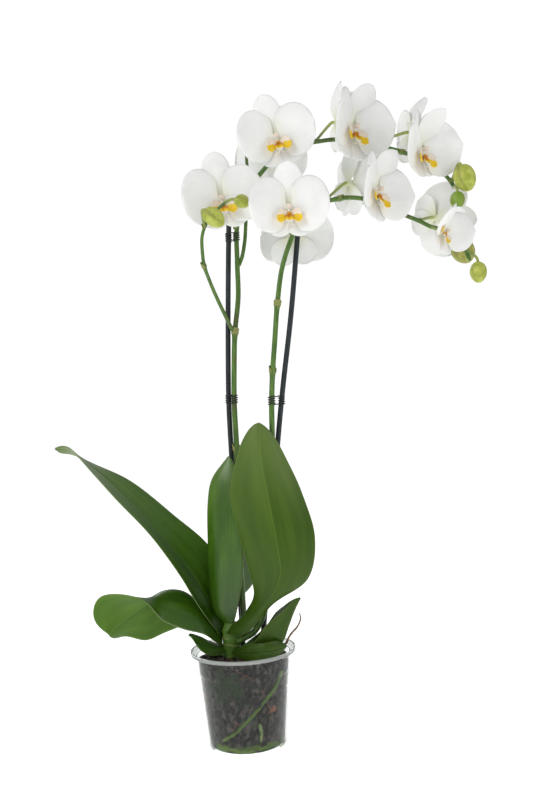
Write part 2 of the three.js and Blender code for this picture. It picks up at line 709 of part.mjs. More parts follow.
// A pedicel leaves the spike and bends towards the back of its bloom or bud
function pedicel({ from, end, away, radius, bend }) {
  const reach = from.distanceTo(end);
  const start = from.clone().lerp(end, 0.3).add(vector([0, 0, 0.03 * reach]));
  const curve = new THREE.CubicBezierCurve3(from, start, end.clone().addScaledVector(away, bend * reach), end);
  const radiusAt = (share) => pedicelRadius + (radius - pedicelRadius) * share ** 2;
  return tube(curve, radiusAt, 3, 5);
}

function spikeGeometry(stem, main, shoots) {
  return toGeometry(joined([
    spikeBody(main),
    ...shoots.map((shoot) => tube(shoot, tapered(shootRadius), 9, 6)),
    ...pedicelEnds[stem].map(pedicel),
  ]));
}

// ---- ties ----

function atHeight(curve, height) {
  const points = curve.getPoints(400);
  return points.reduce((best, p) => (Math.abs(p.z - height) < Math.abs(best.z - height) ? p : best));
}

// Wire wound round a stake and the stem beside it
function tieGeometry(stake, stem, height) {
  const [post, stalk] = [atHeight(stake, height), atHeight(stem, height)];
  const axis = stalk.clone().sub(post).setZ(0);
  const middle = post.clone().lerp(stalk, 0.5);
  const span = axis.length() / 2;
  axis.normalize();
  const side = new THREE.Vector3(-axis.y, axis.x, 0);
  const points = Array.from({ length: tie.turns * tie.steps + 1 }, (_, k) => {
    const turns = k / tie.steps;
    const turn = 2 * Math.PI * turns;
    const slide = Math.max(-1, Math.min(1, 3 * Math.cos(turn)));
    return middle.clone()
      .addScaledVector(axis, span * slide + tie.reach * Math.cos(turn))
      .addScaledVector(side, tie.reach * Math.sin(turn))
      .setZ(height + tie.pitch * (turns - tie.turns / 2));
  });
  return tube(new THREE.CatmullRomCurve3(points), () => tie.wire, tie.turns * tie.steps, 3);
}

// ---- assembly ----

addPiece('pot', potGeometry(), materials.clearPlastic);
addPiece('growing_medium', mediumGeometry(), materials.bark);
addPiece('crown', crownGeometry(), materials.crown);
Object.entries(leafShapes).forEach(([name, stations]) => addPiece(name, leafGeometry(stations), materials.leaf));
addPiece('support_stake_left', stakeBody(stakeRoutes.left), materials.stake);
addPiece('support_stake_right', stakeBody(stakeRoutes.right), materials.stake);
Object.entries(roots).forEach(([kind, { curve, radius, material }]) => (
  addPiece(`root_${kind}`, rootBody(curve, radius), material)));
bloomPlaces.forEach(placeBloom);
budPlaces.forEach(placeBud);
addPiece('flower_spike_left', spikeGeometry('left', leftSpikeRoute, [leftShootRoute, rightShootRoute]),
  materials.spike);
addPiece('flower_spike_right', spikeGeometry('right', rightSpikeRoute, []), materials.spike);
addPiece('wire_tie_left_low', tieGeometry(stakeRoutes.left, leftSpikeRoute, 393), materials.wire);
addPiece('wire_tie_left_high', tieGeometry(stakeRoutes.left, leftSpikeRoute, 581), materials.wire);
addPiece('wire_tie_right', tieGeometry(stakeRoutes.right, rightSpikeRoute, 389), materials.wire);

export default orchid;
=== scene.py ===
import math
import random

import bpy
from mathutils import Matrix, Vector, noise


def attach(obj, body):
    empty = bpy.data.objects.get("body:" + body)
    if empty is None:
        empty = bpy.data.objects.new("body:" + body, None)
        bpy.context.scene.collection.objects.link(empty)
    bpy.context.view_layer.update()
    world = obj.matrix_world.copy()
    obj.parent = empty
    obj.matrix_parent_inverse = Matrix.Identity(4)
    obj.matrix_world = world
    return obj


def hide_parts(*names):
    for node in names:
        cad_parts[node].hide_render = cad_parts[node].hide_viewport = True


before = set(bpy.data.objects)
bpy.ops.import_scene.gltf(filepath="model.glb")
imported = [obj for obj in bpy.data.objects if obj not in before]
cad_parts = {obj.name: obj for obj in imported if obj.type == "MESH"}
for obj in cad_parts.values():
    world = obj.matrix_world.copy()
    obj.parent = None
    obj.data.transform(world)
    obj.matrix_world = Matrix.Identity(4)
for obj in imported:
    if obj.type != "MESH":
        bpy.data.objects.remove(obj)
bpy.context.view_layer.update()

# Sizes and places are in the CAD's millimetres, and turned into metres where a mesh is written
mm = 0.001
print("stage: frame loaded,", len(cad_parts), "nodes")


def clearSelection():
    bpy.ops.object.select_all(action="DESELECT")


def selectOnly(piece):
    clearSelection()
    piece.select_set(True)
    bpy.context.view_layer.objects.active = piece


def smoothStep(value, low, high):
    share = min(max((value - low) / (high - low), 0), 1)
    return share * share * (3 - 2 * share)


def between(start, end, share):
    return start + (end - start) * share


def bowed(near, middle, far, across):
    # a curve through three places, with across from -1 to 1
    square = across * across
    return middle * (1 - square) + near * ((square - across) / 2) + far * ((square + across) / 2)


def around(turn, reach, z):
    return Vector((reach * math.cos(turn), reach * math.sin(turn), z))


def sheet(columns, rows, place, marks=None):
    # a grid whose points are put at place(across, along), both from 0 to 1
    clearSelection()
    bpy.ops.mesh.primitive_grid_add(x_subdivisions=columns, y_subdivisions=rows, size=1, location=(0, 0, 0))
    piece = bpy.context.object
    spots = [(vertex.co.x + 0.5, vertex.co.y + 0.5) for vertex in piece.data.vertices]
    for vertex, (across, along) in zip(piece.data.vertices, spots):
        vertex.co = Vector(place(across, along)) * mm
    if marks:
        paint(piece, [marks(across, along) for across, along in spots])
    return piece


def paint(piece, values):
    layer = piece.data.attributes.new("marks", "FLOAT_COLOR", "POINT")
    layer.data.foreach_set("color", [part for value in values for part in (*value, 1)])


def paintPlain(piece, tone):
    paint(piece, [(tone, 0, 0)] * len(piece.data.vertices))


def copyOf(piece):
    made = piece.copy()
    made.data = piece.data.copy()
    bpy.context.scene.collection.objects.link(made)
    return made


def applyModifier(piece, kind, **settings):
    bpy.context.view_layer.objects.active = piece
    modifier = piece.modifiers.new("step", kind)
    for key, value in settings.items():
        setattr(modifier, key, value)
    bpy.ops.object.modifier_apply(modifier=modifier.name)


def closeUp(piece, reach=0.002):
    # merges seams and poles, and turns the faces outwards
    selectOnly(piece)
    bpy.ops.object.mode_set(mode="EDIT")
    bpy.ops.mesh.select_all(action="SELECT")
    bpy.ops.mesh.remove_doubles(threshold=reach * mm)
    bpy.ops.mesh.normals_make_consistent(inside=False)
    bpy.ops.object.mode_set(mode="OBJECT")


def joinAll(parts):
    clearSelection()
    for part in parts:
        part.select_set(True)
    bpy.context.view_layer.objects.active = parts[0]
    if len(parts) > 1:
        bpy.ops.object.join()
    return bpy.context.view_layer.objects.active


def shadeSmooth(piece):
    selectOnly(piece)
    bpy.ops.object.shade_smooth()


def shadeByAngle(piece, degrees):
    selectOnly(piece)
    bpy.ops.object.shade_smooth_by_angle(angle=math.radians(degrees))


def thicken(piece, thickness, **settings):
    applyModifier(piece, "SOLIDIFY", thickness=thickness * mm, offset=0, **settings)
    shadeSmooth(piece)


def thickenBlade(piece, form, weight, **settings):
    # weight(across, along) is 1 where the blade has its full thickness and 0 at its thin edge
    group = piece.vertex_groups.new(name="thick")
    row = form["columns"] + 1
    for vertex in piece.data.vertices:
        across = 2 * (vertex.index % row) / form["columns"] - 1
        along = (vertex.index // row) / form["rows"]
        group.add([vertex.index], weight(across, along), "REPLACE")
    thicken(piece, form["thickness"], vertex_group="thick", thickness_vertex_group=form["edge"], **settings)


def giveMaterials(piece, materials):
    for material in materials:
        piece.data.materials.append(material)


def finishPiece(piece, name, materials, nodes):
    piece.name = name
    piece.data.name = name
    giveMaterials(piece, materials)
    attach(piece, "root")
    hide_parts(*nodes)


def curvePoint(points, share):
    # a smooth curve through the points, spaced by the root of their distances
    last = len(points) - 1
    spot = min(max(share, 0), 1) * last
    index = min(int(spot), last - 1)
    weight = spot - index
    here, there = points[index], points[index + 1]
    before = points[index - 1] if index > 0 else 2 * here - there
    after = points[index + 2] if index + 2 <= last else 2 * there - here
    pairs = ((before, here), (here, there), (there, after))
    first, middle, third = [max((b - a).length, 1e-6) ** 0.5 for a, b in pairs]
    leave = ((here - before) / first - (there - before) / (first + middle)) * middle + (there - here)
    arrive = ((after - there) / third - (after - here) / (middle + third)) * middle + (there - here)
    rest = 1 - weight
    return (here * ((1 + 2 * weight) * rest * rest) + leave * (weight * rest * rest)
            + there * (weight * weight * (3 - 2 * weight)) - arrive * (weight * weight * rest))


class Route:
    # places and directions at even steps along a curve
    def __init__(self, points, fineness=500, smooth=True):
        points = [Vector(point) for point in points]
        if smooth:
            self.fine = [curvePoint(points, k / fineness) for k in range(fineness + 1)]
        else:
            self.fine = points
        self.runs = [0]
        for a, b in zip(self.fine, self.fine[1:]):
            self.runs.append(self.runs[-1] + (b - a).length)
        self.length = self.runs[-1]

    def at(self, share):
        goal = min(max(share, 0), 1) * self.length
        low, high = 0, len(self.runs) - 1
        while high - low > 1:
            middle = (low + high) // 2
            if self.runs[middle] <= goal:
                low = middle
            else:
                high = middle
        span = max(self.runs[high] - self.runs[low], 1e-9)
        return self.fine[low].lerp(self.fine[high], (goal - self.runs[low]) / span)

    def direction(self, share):
        return (self.at(share + 0.004) - self.at(share - 0.004)).normalized()

    def nearest(self, height):
        return min(range(len(self.fine)), key=lambda k: abs(self.fine[k].z - height))

    def shareAtHeight(self, height):
        return self.runs[self.nearest(height)] / self.length


def frames(route, shares):
    # a side and an up for each share, carried along without twist
    made = []
    side = route.direction(shares[0]).orthogonal().normalized()
    for share in shares:
        ahead = route.direction(share)
        side = (side - ahead * side.dot(ahead)).normalized()
        made.append((route.at(share), side, ahead.cross(side)))
    return made


def domedShares(cap, steps, domeSteps=3):
    # even steps, with closer ones along the two rounded ends
    turns = [cap * (1 - math.cos(math.pi / 2 * k / domeSteps)) for k in range(domeSteps)]
    even = [between(cap, 1 - cap, k / steps) for k in range(1, steps)]
    return turns + [cap] + even + [1 - cap] + [1 - value for value in reversed(turns)]


def tube(route, radiusAt, steps, sides, marks=None, domed=True):
    # radiusAt and marks take a share of the length and a turn, and ends that aren't domed are flat
    cap = min(radiusAt(0.5, 0) / route.length, 0.2)
    shares = domedShares(cap, steps) if domed else [k / steps for k in range(steps + 1)]
    rings = frames(route, shares)
    rows = len(shares) - 1

    def place(across, along):
        row = round(along * rows)
        centre, side, up = rings[row]
        share = shares[row]
        radius = radiusAt(share, across)
        if domed and share < cap:
            radius *= math.sqrt(max(0, 1 - (1 - share / cap) ** 2))
        if domed and share > 1 - cap:
            radius *= math.sqrt(max(0, 1 - ((share - 1 + cap) / cap) ** 2))
        turn = 2 * math.pi * across
        return centre + side * (radius * math.cos(turn)) + up * (radius * math.sin(turn))

    painted = (lambda across, along: marks(shares[round(along * rows)], across)) if marks else None
    piece = sheet(sides, rows, place, painted)
    closeUp(piece)
    if not domed:
        capEnds(piece)
    shadeSmooth(piece)
    return piece


def capEnds(piece):
    selectOnly(piece)
    bpy.ops.object.mode_set(mode="EDIT")
    bpy.ops.mesh.select_mode(type="VERT")
    bpy.ops.mesh.select_all(action="DESELECT")
    bpy.ops.mesh.select_non_manifold()
    bpy.ops.mesh.fill_holes(sides=0)
    bpy.ops.mesh.select_all(action="SELECT")
    bpy.ops.mesh.normals_make_consistent(inside=False)
    bpy.ops.object.mode_set(mode="OBJECT")


def colour(red, green, blue):
    # a colour as a screen shows it, 0 to 255
    parts = [value / 255 for value in (red, green, blue)]
    return tuple(part / 12.92 if part < 0.04 else ((part + 0.055) / 1.055) ** 2.4 for part in parts) + (1,)


class Wire:
    # an output socket, so that shader sums are written as plain expressions
    def __init__(self, shader, socket):
        self.shader = shader
        self.socket = socket

    def sum(self, operation, other, swap=False):
        pair = (other, self) if swap else (self, other)
        return self.shader.node("Math", {"operation": operation}, dict(enumerate(pair)))

    def __add__(self, other):
        return self.sum("ADD", other)

    def __sub__(self, other):
        return self.sum("SUBTRACT", other)

    def __rsub__(self, other):
        return self.sum("SUBTRACT", other, True)

    def __mul__(self, other):
        return self.sum("MULTIPLY", other)

    def high(self, edge, soft):
        # 0 below edge, 1 past edge + soft
        settings = {"interpolation_type": "SMOOTHSTEP"}
        return self.shader.node("MapRange", settings, {0: self, 1: edge, 2: edge + soft, 3: 0.0, 4: 1.0})

    def low(self, edge, soft):
        return 1 - self.high(edge, soft)

    __radd__ = __add__
    __rmul__ = __mul__


class Shader:
    def __init__(self, name, **surface):
        self.material = bpy.data.materials.new(name)
        self.material.use_nodes = True
        self.tree = self.material.node_tree
        self.body = self.tree.nodes["Principled BSDF"]
        self.set(**surface)

    def set(self, **surface):
        names = {
            "base": "Base Color", "roughness": "Roughness", "normal": "Normal", "coat": "Coat Weight",
            "coatRoughness": "Coat Roughness", "sheen": "Sheen Weight", "scatter": "Subsurface Weight",
            "scatterRadius": "Subsurface Radius", "scatterScale": "Subsurface Scale",
            "through": "Transmission Weight", "ior": "IOR", "specular": "Specular IOR Level",
            "glow": "Emission Color", "glowStrength": "Emission Strength",
        }
        for key, value in surface.items():
            self.put(self.body.inputs[names[key]], value)
        return self.material

    def put(self, socket, value):
        if isinstance(value, Wire):
            self.tree.links.new(value.socket, socket)
        else:
            socket.default_value = value

    def node(self, kind, settings=None, sockets=None, out=0):
        made = self.tree.nodes.new("ShaderNode" + kind)
        for key, value in (settings or {}).items():
            setattr(made, key, value)
        for key, value in (sockets or {}).items():
            self.put(made.inputs[key], value)
        return Wire(self, made.outputs[out])

    def objectPlace(self):
        return self.node("TexCoord", out="Object")

    def uvPlace(self):
        return self.node("TexCoord", out="UV")

    def apart(self, vector):
        split = self.node("SeparateXYZ", {}, {0: vector}).socket.node
        return [Wire(self, output) for output in split.outputs]

    def marks(self):
        # the three values that paint() put on the piece
        return self.apart(self.node("Attribute", {"attribute_name": "marks"}, {}, "Color"))

    def scaled(self, vector, x, y, z):
        return self.node("Mapping", {}, {"Vector": vector, "Scale": (x, y, z)})

    def noise(self, vector, scale, detail=3.0, rough=0.55):
        return self.node("TexNoise", {}, {
            "Vector": vector, "Scale": scale, "Detail": detail, "Roughness": rough})

    def upright(self, place, stretch, scale, rough=0.55):
        # noise drawn out along the height
        return self.noise(self.scaled(place, 1, 1, stretch), scale, 3.0, rough)

    def streaks(self, across, along, detail=2.0):
        # noise that follows the piece's own length
        return self.noise(self.scaled(self.uvPlace(), across, along, 1), 1.0, detail)

    def cells(self, vector, scale):
        return self.node("TexVoronoi", {}, {"Vector": vector, "Scale": scale})

    def mix(self, factor, first, second):
        return self.node("Mix", {"data_type": "RGBA"}, {0: factor, 6: first, 7: second}, 2)

    def bump(self, height, strength, distance):
        return self.node("Bump", {}, {"Height": height, "Strength": strength, "Distance": distance})

    def blendOver(self, factor, **surface):
        # lays a second surface over the first by the factor
        first = Wire(self, self.body.outputs[0])
        second = self.node("BsdfPrincipled")
        self.body = second.socket.node
        self.set(**surface)
        both = self.node("MixShader", {}, {0: factor, 1: first, 2: second})
        self.put(self.tree.nodes["Material Output"].inputs["Surface"], both)
        return self.material


# The camera is level, about a metre in front, and rolled a little as the picture is
camera = {"place": (41.5, -1080, 390), "roll": 3, "lens": 42.525, "sensor": 36, "clip": (0.01, 60)}


def makeCamera():
    lens = bpy.data.cameras.new("camera")
    lens.lens = camera["lens"]
    lens.sensor_width = camera["sensor"]
    lens.clip_start, lens.clip_end = camera["clip"]
    eye = bpy.data.objects.new("camera", lens)
    bpy.context.scene.collection.objects.link(eye)
    cosine, sine = math.cos(math.radians(camera["roll"])), math.sin(math.radians(camera["roll"]))
    x, y, z = [value * mm for value in camera["place"]]
    eye.matrix_world = Matrix(((cosine, sine, 0, x), (0, 0, -1, y), (-sine, cosine, 0, z), (0, 0, 0, 1)))
    bpy.context.scene.camera = eye


# The camera sees a brighter sky than the one that lights the plant
studio = {
    "sky": 0.4, "seenSky": 1.05,
    "lamps": [
        {"name": "lamp_left", "at": (-1.3, -1.3, 1.6), "aim": (0, 0, 0.4), "size": 1.0, "power": 15.5},
        {"name": "lamp_right", "at": (1.6, -0.9, 1.2), "aim": (0.05, 0, 0.4), "size": 1.0, "power": 6},
        {"name": "lamp_back", "at": (-0.9, 1.3, 1.5), "aim": (0.0, 0, 0.4), "size": 1.2, "power": 8.5},
    ],
    "floorSize": 5, "floorWhite": 0.93, "floorGlow": 0.66,
}


def makeLight():
    world = bpy.data.worlds.new("studio")
    bpy.context.scene.world = world
    world.use_nodes = True
    tree = world.node_tree
    back = tree.nodes["Background"]
    rays = tree.nodes.new("ShaderNodeLightPath")
    shade = tree.nodes.new("ShaderNodeMix")
    shade.data_type = "FLOAT"
    tree.links.new(rays.outputs["Is Camera Ray"], shade.inputs[0])
    shade.inputs[2].default_value = studio["sky"]
    shade.inputs[3].default_value = studio["seenSky"]
    tree.links.new(shade.outputs[0], back.inputs["Strength"])
    back.inputs["Color"].default_value = (1, 1, 1, 1)
    for lamp in studio["lamps"]:
        data = bpy.data.lights.new(lamp["name"], "AREA")
        data.shape = "DISK"
        data.size = lamp["size"]
        data.energy = lamp["power"]
        made = bpy.data.objects.new(lamp["name"], data)
        bpy.context.scene.collection.objects.link(made)
        place = Vector(lamp["at"])
        made.location = place
        made.rotation_euler = (Vector(lamp["aim"]) - place).to_track_quat("-Z", "Y").to_euler()


def makeFloor():
    clearSelection()
    bpy.ops.mesh.primitive_plane_add(size=studio["floorSize"], location=(0, 0, 0))
    floor = bpy.context.object
    floor.name = "floor"
    white = studio["floorWhite"]
    shader = Shader("floor_white", base=(white, white, white, 1), roughness=0.7, specular=0.1)
    floor.data.materials.append(shader.set(glow=(1, 1, 1, 1), glowStrength=studio["floorGlow"]))


bpy.context.scene.view_settings.view_transform = "Standard"
makeCamera()
makeLight()
makeFloor()
print("stage: camera, light and floor")


pot = {
    "height": 109, "wallTop": 103, "baseRadius": 44, "topRadius": 54, "rimRadius": 60, "rimBand": 3.6,
    "wall": 1.3, "floor": 1.4, "ridge": 85, "sides": 96, "longStretch": 12, "holdAt": 1.2,
    "holes": 6, "holeRadius": 4, "holeCircle": 29, "holeSides": 24, "cutDepth": 8,
}

# A turned shape starts and ends in a tiny ring, which is merged into one point
turning = {"ring": 0.05, "merge": 0.12}


def wallRadius(z):
    return pot["baseRadius"] + (pot["topRadius"] - pot["baseRadius"]) * z / pot["wallTop"]


def turned(profile, sides):
    # a circle drawn out ring by ring along a profile of (radius, height)
    clearSelection()
    first = profile[0]
    bpy.ops.mesh.primitive_circle_add(vertices=sides, radius=first[0] * mm, location=(0, 0, first[1] * mm))
    piece = bpy.context.object
    bpy.ops.object.transform_apply(location=True, rotation=True, scale=True)
    bpy.ops.object.mode_set(mode="EDIT")
    bpy.ops.mesh.select_mode(type="EDGE")
    bpy.ops.mesh.select_all(action="SELECT")
    radius, height = first
    for nextRadius, nextHeight in profile[1:]:
        bpy.ops.mesh.extrude_edges_move(TRANSFORM_OT_translate={"value": (0, 0, (nextHeight - height) * mm)})
        share = nextRadius / radius
        bpy.ops.transform.resize(value=(share, share, 1), center_override=(0, 0, nextHeight * mm))
        radius, height = nextRadius, nextHeight
    bpy.ops.object.mode_set(mode="OBJECT")
    closeUp(piece, turning["merge"])
    return piece


def heldStraight(profile):
    # rings near both ends of each long stretch keep its shading straight, so that it doesn't bend the view
    held = [profile[0]]
    for first, second in zip(profile, profile[1:]):
        start, end = Vector(first), Vector(second)
        length = (end - start).length
        if length > pot["longStretch"]:
            share = pot["holdAt"] / length
            held += [tuple(start.lerp(end, share)), tuple(start.lerp(end, 1 - share))]
        held.append(second)
    return held


def makePot(material):
    base, mouth, rim = pot["baseRadius"], pot["topRadius"], pot["rimRadius"]
    ridge, neck, top = pot["ridge"], pot["wallTop"], pot["height"]
    wall, floor, centre = pot["wall"], pot["floor"], turning["ring"]
    belt = wallRadius(ridge)
    under = top - pot["rimBand"]
    foot = [(centre, 0), (base - 2.5, 0), (base - 1.3, 0.25), (base - 0.5, 1), (wallRadius(3), 3)]
    step = [(belt - 0.5, ridge - 2.2), (belt - 0.2, ridge - 1.6), (belt + 0.4, ridge - 0.3),
            (belt + 0.5, ridge + 0.4)]
    shoulder = [(mouth, neck), (mouth + 0.8, neck + 0.7), (rim - 1.2, under - 0.7), (rim - 0.3, under - 0.3)]
    roll = [(rim, under + 0.3), (rim, top - 0.8), (rim - 0.25, top - 0.25), (rim - 0.8, top),
            (rim - 1.4, top), (rim - 1.9, top - 0.4)]
    inside = [
        (rim - 2, under + 1.4), (mouth + 0.4, neck + 1.6), (mouth - wall, neck + 0.6),
        (belt + 0.5 - wall, ridge + 0.4), (belt - 0.5 - wall, ridge - 2),
        (wallRadius(4) - wall, 4), (base - 2.4, floor + 0.8), (base - 4, floor), (centre, floor),
    ]
    piece = turned(heldStraight(foot + step + shoulder + roll + inside), pot["sides"])
    cutDrainHoles(piece)
    shadeByAngle(piece, 40)
    finishPiece(piece, "nursery_pot", [material], ["pot"])


def cutDrainHoles(piece):
    cutters = []
    for k in range(pot["holes"]):
        place = around(2 * math.pi * (k + 0.5) / pot["holes"], pot["holeCircle"], 0) * mm
        clearSelection()
        bpy.ops.mesh.primitive_cylinder_add(vertices=pot["holeSides"], radius=pot["holeRadius"] * mm,
                                            depth=pot["cutDepth"] * mm, location=place)
        cutters.append(bpy.context.object)
    cutter = joinAll(cutters)
    applyModifier(piece, "BOOLEAN", operation="DIFFERENCE", solver="EXACT", object=cutter)
    bpy.data.objects.remove(cutter)


def clearPlastic():
    shader = Shader("clear_plastic", base=colour(236, 240, 238), through=0.99, ior=1.22)
    place = shader.objectPlace()
    haze = shader.noise(place, 38.0, 4.0, 0.6)
    drops = shader.cells(place, 420.0)
    rough = 0.01 + haze.high(0.5, 0.3) * 0.05
    bump = shader.bump(drops.low(0.12, 0.2) * haze.high(0.6, 0.1), 0.06, 0.3 * mm)
    shader.set(roughness=rough, normal=bump)
    height = shader.apart(place)[2]
    rim = height.high((pot["wallTop"] - 0.5) * mm, 3 * mm) * 0.3
    foot = height.low(0.5 * mm, 2 * mm) * 0.25
    cloud = rim + foot + haze.high(0.5, 0.3) * 0.02
    return shader.blendOver(cloud, base=colour(226, 230, 226), roughness=0.3, specular=0.5)


makePot(clearPlastic())
print("stage: pot")


crownRoute = Route([[-18, 0, 84], [-17, 0, 100], [-13, 0, 112], [-12, 0, 126], [-12, 0, 139]])
stakeRoutes = {
    "left": Route([[0, 19, 14], [-1, 19.5, 147], [-2.5, 19.5, 327], [-2.5, 19.5, 388], [-1, 19, 429],
                   [3, 19, 508], [9, 19, 607]]),
    "right": Route([[9, -6, 14], [25, -8, 133], [52, -13, 344], [61, -13, 405], [74, -13, 484],
                    [89, -12, 594]]),
}
spikeRoutes = {
    "left": Route([
        [-5, 3, 124], [1, 7, 138], [2, 8, 165], [1, 8, 230], [2, 10, 290], [4, 13, 334], [4, 15, 387],
        [6, 15, 429], [9, 15, 469], [15, 15, 511], [16, 15, 553], [18, 16, 593], [29, 17, 629], [50, 18, 655],
        [66, 18, 670], [92, 18, 683], [119, 18, 687], [139, 18, 688], [171, 18, 683], [198, 18, 675],
        [215, 18, 669], [245, 16, 655], [262, 12, 638], [270, 8, 624]]),
    "right": Route([
        [-6, -4, 117], [4, -9, 123], [15, -15, 131], [26, -21, 152], [31, -23, 170], [37, -25, 212],
        [43, -26, 278], [46, -22, 357], [47, -21, 385], [50, -21, 421], [54, -21, 454], [59, -21, 495],
        [67, -21, 538], [81, -20, 574], [93, -18, 595], [108, -16, 609], [125, -15, 611], [142, -15, 613],
        [156, -15, 612], [172, -15, 608], [190, -15, 601], [210, -15, 589], [223, -15, 583], [236, -14, 576],
        [248, -9, 573], [263, -11, 562], [273, -17, 548], [278, -20, 534]]),
}
shootRoutes = {
    "left": [
        Route([[9, 15, 470], [6, 12, 474], [-1, 4, 490], [-10, -8, 512], [-16, -18, 529], [-20, -26, 543],
               [-21, -31, 558], [-20, -35, 575], [-14, -37, 589], [0, -38, 604], [9, -40, 610]]),
        Route([[17, 15, 546], [22, 18, 558], [26, 21, 577], [28, 24, 596], [31, 27, 625], [33, 29, 660],
               [31, 30, 691], [24, 30, 706]]),
    ],
    "right": [],
}


# The ring root lies along the foot of the pot, and dips in its middle
ringRoot = {"points": 11, "start": 200, "step": 14.5, "radius": 37.4, "height": 7.8, "dip": 2.4}


def ringRootPoints():
    points = []
    for k in range(ringRoot["points"]):
        turn = math.radians(ringRoot["start"] + ringRoot["step"] * k)
        dip = ringRoot["dip"] * math.sin(math.pi * k / (ringRoot["points"] - 1))
        points.append(around(turn, ringRoot["radius"], ringRoot["height"] - dip))
    return points


rootRoutes = {
    "green": Route([[42, -23, 88], [37, -29, 77], [29, -35, 66], [19, -39.5, 56], [8, -42, 45], [-3, -42, 34],
                    [-14, -39, 24], [-26, -32.5, 15]]),
    "pale": Route([[13.2, -41.2, 37], [16.5, -39.6, 27], [15.5, -38.6, 14]]),
    "dry": Route([[40, -3, 96], [44, -8, 108], [50, -14, 116], [54, -16, 124], [63, -17, 134], [67, -18, 143],
                  [66, -18, 149]]),
    "ring": Route(ringRootPoints()),
}
rootRadius = {"green": 2.3, "pale": 1.9, "dry": 2, "ring": 3.6}


# Slack is how far a chip may stand through the pot's inside or back from it
bark = {
    "seed": 11, "shapes": 6, "length": (9, 19), "width": (6, 11), "thick": (3, 5.5),
    "rootRoom": {"green": 5.2, "pale": 4.5, "ring": 1}, "rootStep": 12,
    "clearance": 0.5, "wallGap": 0.05, "floor": 1.7,
}
wallChips = {"count": 430, "heights": (2.5, 95), "slack": (-0.3, 1.2), "spin": (-1.2, 1.2),
             "skew": (-0.25, 0.25)}
topChips = {"count": 150, "height": 97, "rise": (-3.5, 2.5), "spread": 50, "edgeAt": 100, "edgeGap": 1,
            "spin": (0, 6.28), "pitch": (-0.6, 0.6), "roll": (-0.5, 0.5)}
footChips = {"count": 150, "turns": (-22, 208), "heights": (3, 13), "edgeAt": 5, "slack": (-0.4, 0.8),
             "spin": (-0.3, 0.3)}
# The core's low tone paints it near the darkest bark colour, as painted shade in the gaps between chips
core = {"foot": 1.9, "low": 8, "high": 92, "top": 94, "inset": 3, "footInset": 1.5, "sides": 40, "tone": 0.1}


def barkShape(index):
    # a block that is split and roughened into a piece of bark, one unit long
    clearSelection()
    bpy.ops.mesh.primitive_cube_add(size=1)
    piece = bpy.context.object
    bpy.ops.object.mode_set(mode="EDIT")
    bpy.ops.mesh.select_all(action="SELECT")
    bpy.ops.mesh.subdivide(number_cuts=2, fractal=0.55, fractal_along_normal=0.5, seed=index + 3)
    bpy.ops.mesh.vertices_smooth(factor=0.35, repeat=1)
    bpy.ops.object.mode_set(mode="OBJECT")
    low = [min(vertex.co[k] for vertex in piece.data.vertices) for k in range(3)]
    high = [max(vertex.co[k] for vertex in piece.data.vertices) for k in range(3)]
    for vertex in piece.data.vertices:
        vertex.co = Vector([(vertex.co[k] - low[k]) / (high[k] - low[k]) - 0.5 for k in range(3)])
    return piece


def nearRoot(place):
    for kind in ("green", "pale", "ring"):
        route = rootRoutes[kind]
        nearest = min((point - place).length for point in route.fine[::bark["rootStep"]])
        if nearest < bark["rootRoom"][kind] + rootRadius[kind]:
            return True
    return False


def innerRadius(z):
    return wallRadius(z) - pot["wall"] - bark["clearance"]


def chipSize(draw):
    return [draw.uniform(*bark[key]) for key in ("length", "width", "thick")]


def placeChip(shape, place, turns, size, tone):
    # turns are pairs of an axis and an angle, with the last one made first
    pose = Matrix.Translation(place * mm)
    for axis, angle in turns:
        pose = pose @ Matrix.Rotation(angle, 4, axis)
    chip = copyOf(shape)
    chip.data.transform(pose @ Matrix.Diagonal((*[value * mm for value in size], 1)))
    paintPlain(chip, tone)
    return chip


def wallChip(draw, shapes):
    # the length runs round the wall and the thin side faces it
    turn = draw.uniform(0, 2 * math.pi)
    z = draw.uniform(*wallChips["heights"])
    length, width, thick = chipSize(draw)
    place = around(turn, innerRadius(z) - thick / 2 - draw.uniform(*wallChips["slack"]), z)
    spin = draw.uniform(*wallChips["spin"])
    tone = draw.random()
    if nearRoot(place):
        return []
    turns = (("Z", turn + math.pi / 2), ("Y", spin), ("Z", draw.uniform(*wallChips["skew"])))
    return [placeChip(draw.choice(shapes), place, turns, (length, thick, width), tone)]


def topChip(draw, shapes):
    turn = draw.uniform(0, 2 * math.pi)
    length, width, thick = chipSize(draw)
    limit = innerRadius(topChips["edgeAt"]) - length / 2 - topChips["edgeGap"]
    reach = min(topChips["spread"] * math.sqrt(draw.random()), limit)
    place = around(turn, reach, topChips["height"] + draw.uniform(*topChips["rise"]))
    axes = {"Z": "spin", "X": "pitch", "Y": "roll"}
    turns = [(axis, draw.uniform(*topChips[key])) for axis, key in axes.items()]
    return placeChip(draw.choice(shapes), place, turns, (length, width, thick), draw.random())


def footChip(draw, shapes, share):
    turn = math.radians(between(*footChips["turns"], share))
    length, width, thick = chipSize(draw)
    reach = innerRadius(footChips["edgeAt"]) - thick / 2 - draw.uniform(*footChips["slack"])
    place = around(turn, reach, draw.uniform(*footChips["heights"]))
    turns = (("Z", turn + math.pi / 2), ("Y", draw.uniform(*footChips["spin"])))
    return placeChip(draw.choice(shapes), place, turns, (length, thick, width), draw.random())


def makeCore():
    # the middle of the bark, which the chips hide, painted near the darkest bark colour as the shade in the
    # gaps between them
    piece = turned([
        (turning["ring"], core["foot"]), (innerRadius(2) - core["footInset"], core["foot"]),
        (innerRadius(core["low"]) - core["inset"], core["low"]),
        (innerRadius(core["high"]) - core["inset"], core["high"]), (turning["ring"], core["top"]),
    ], core["sides"])
    paintPlain(piece, core["tone"])
    return piece


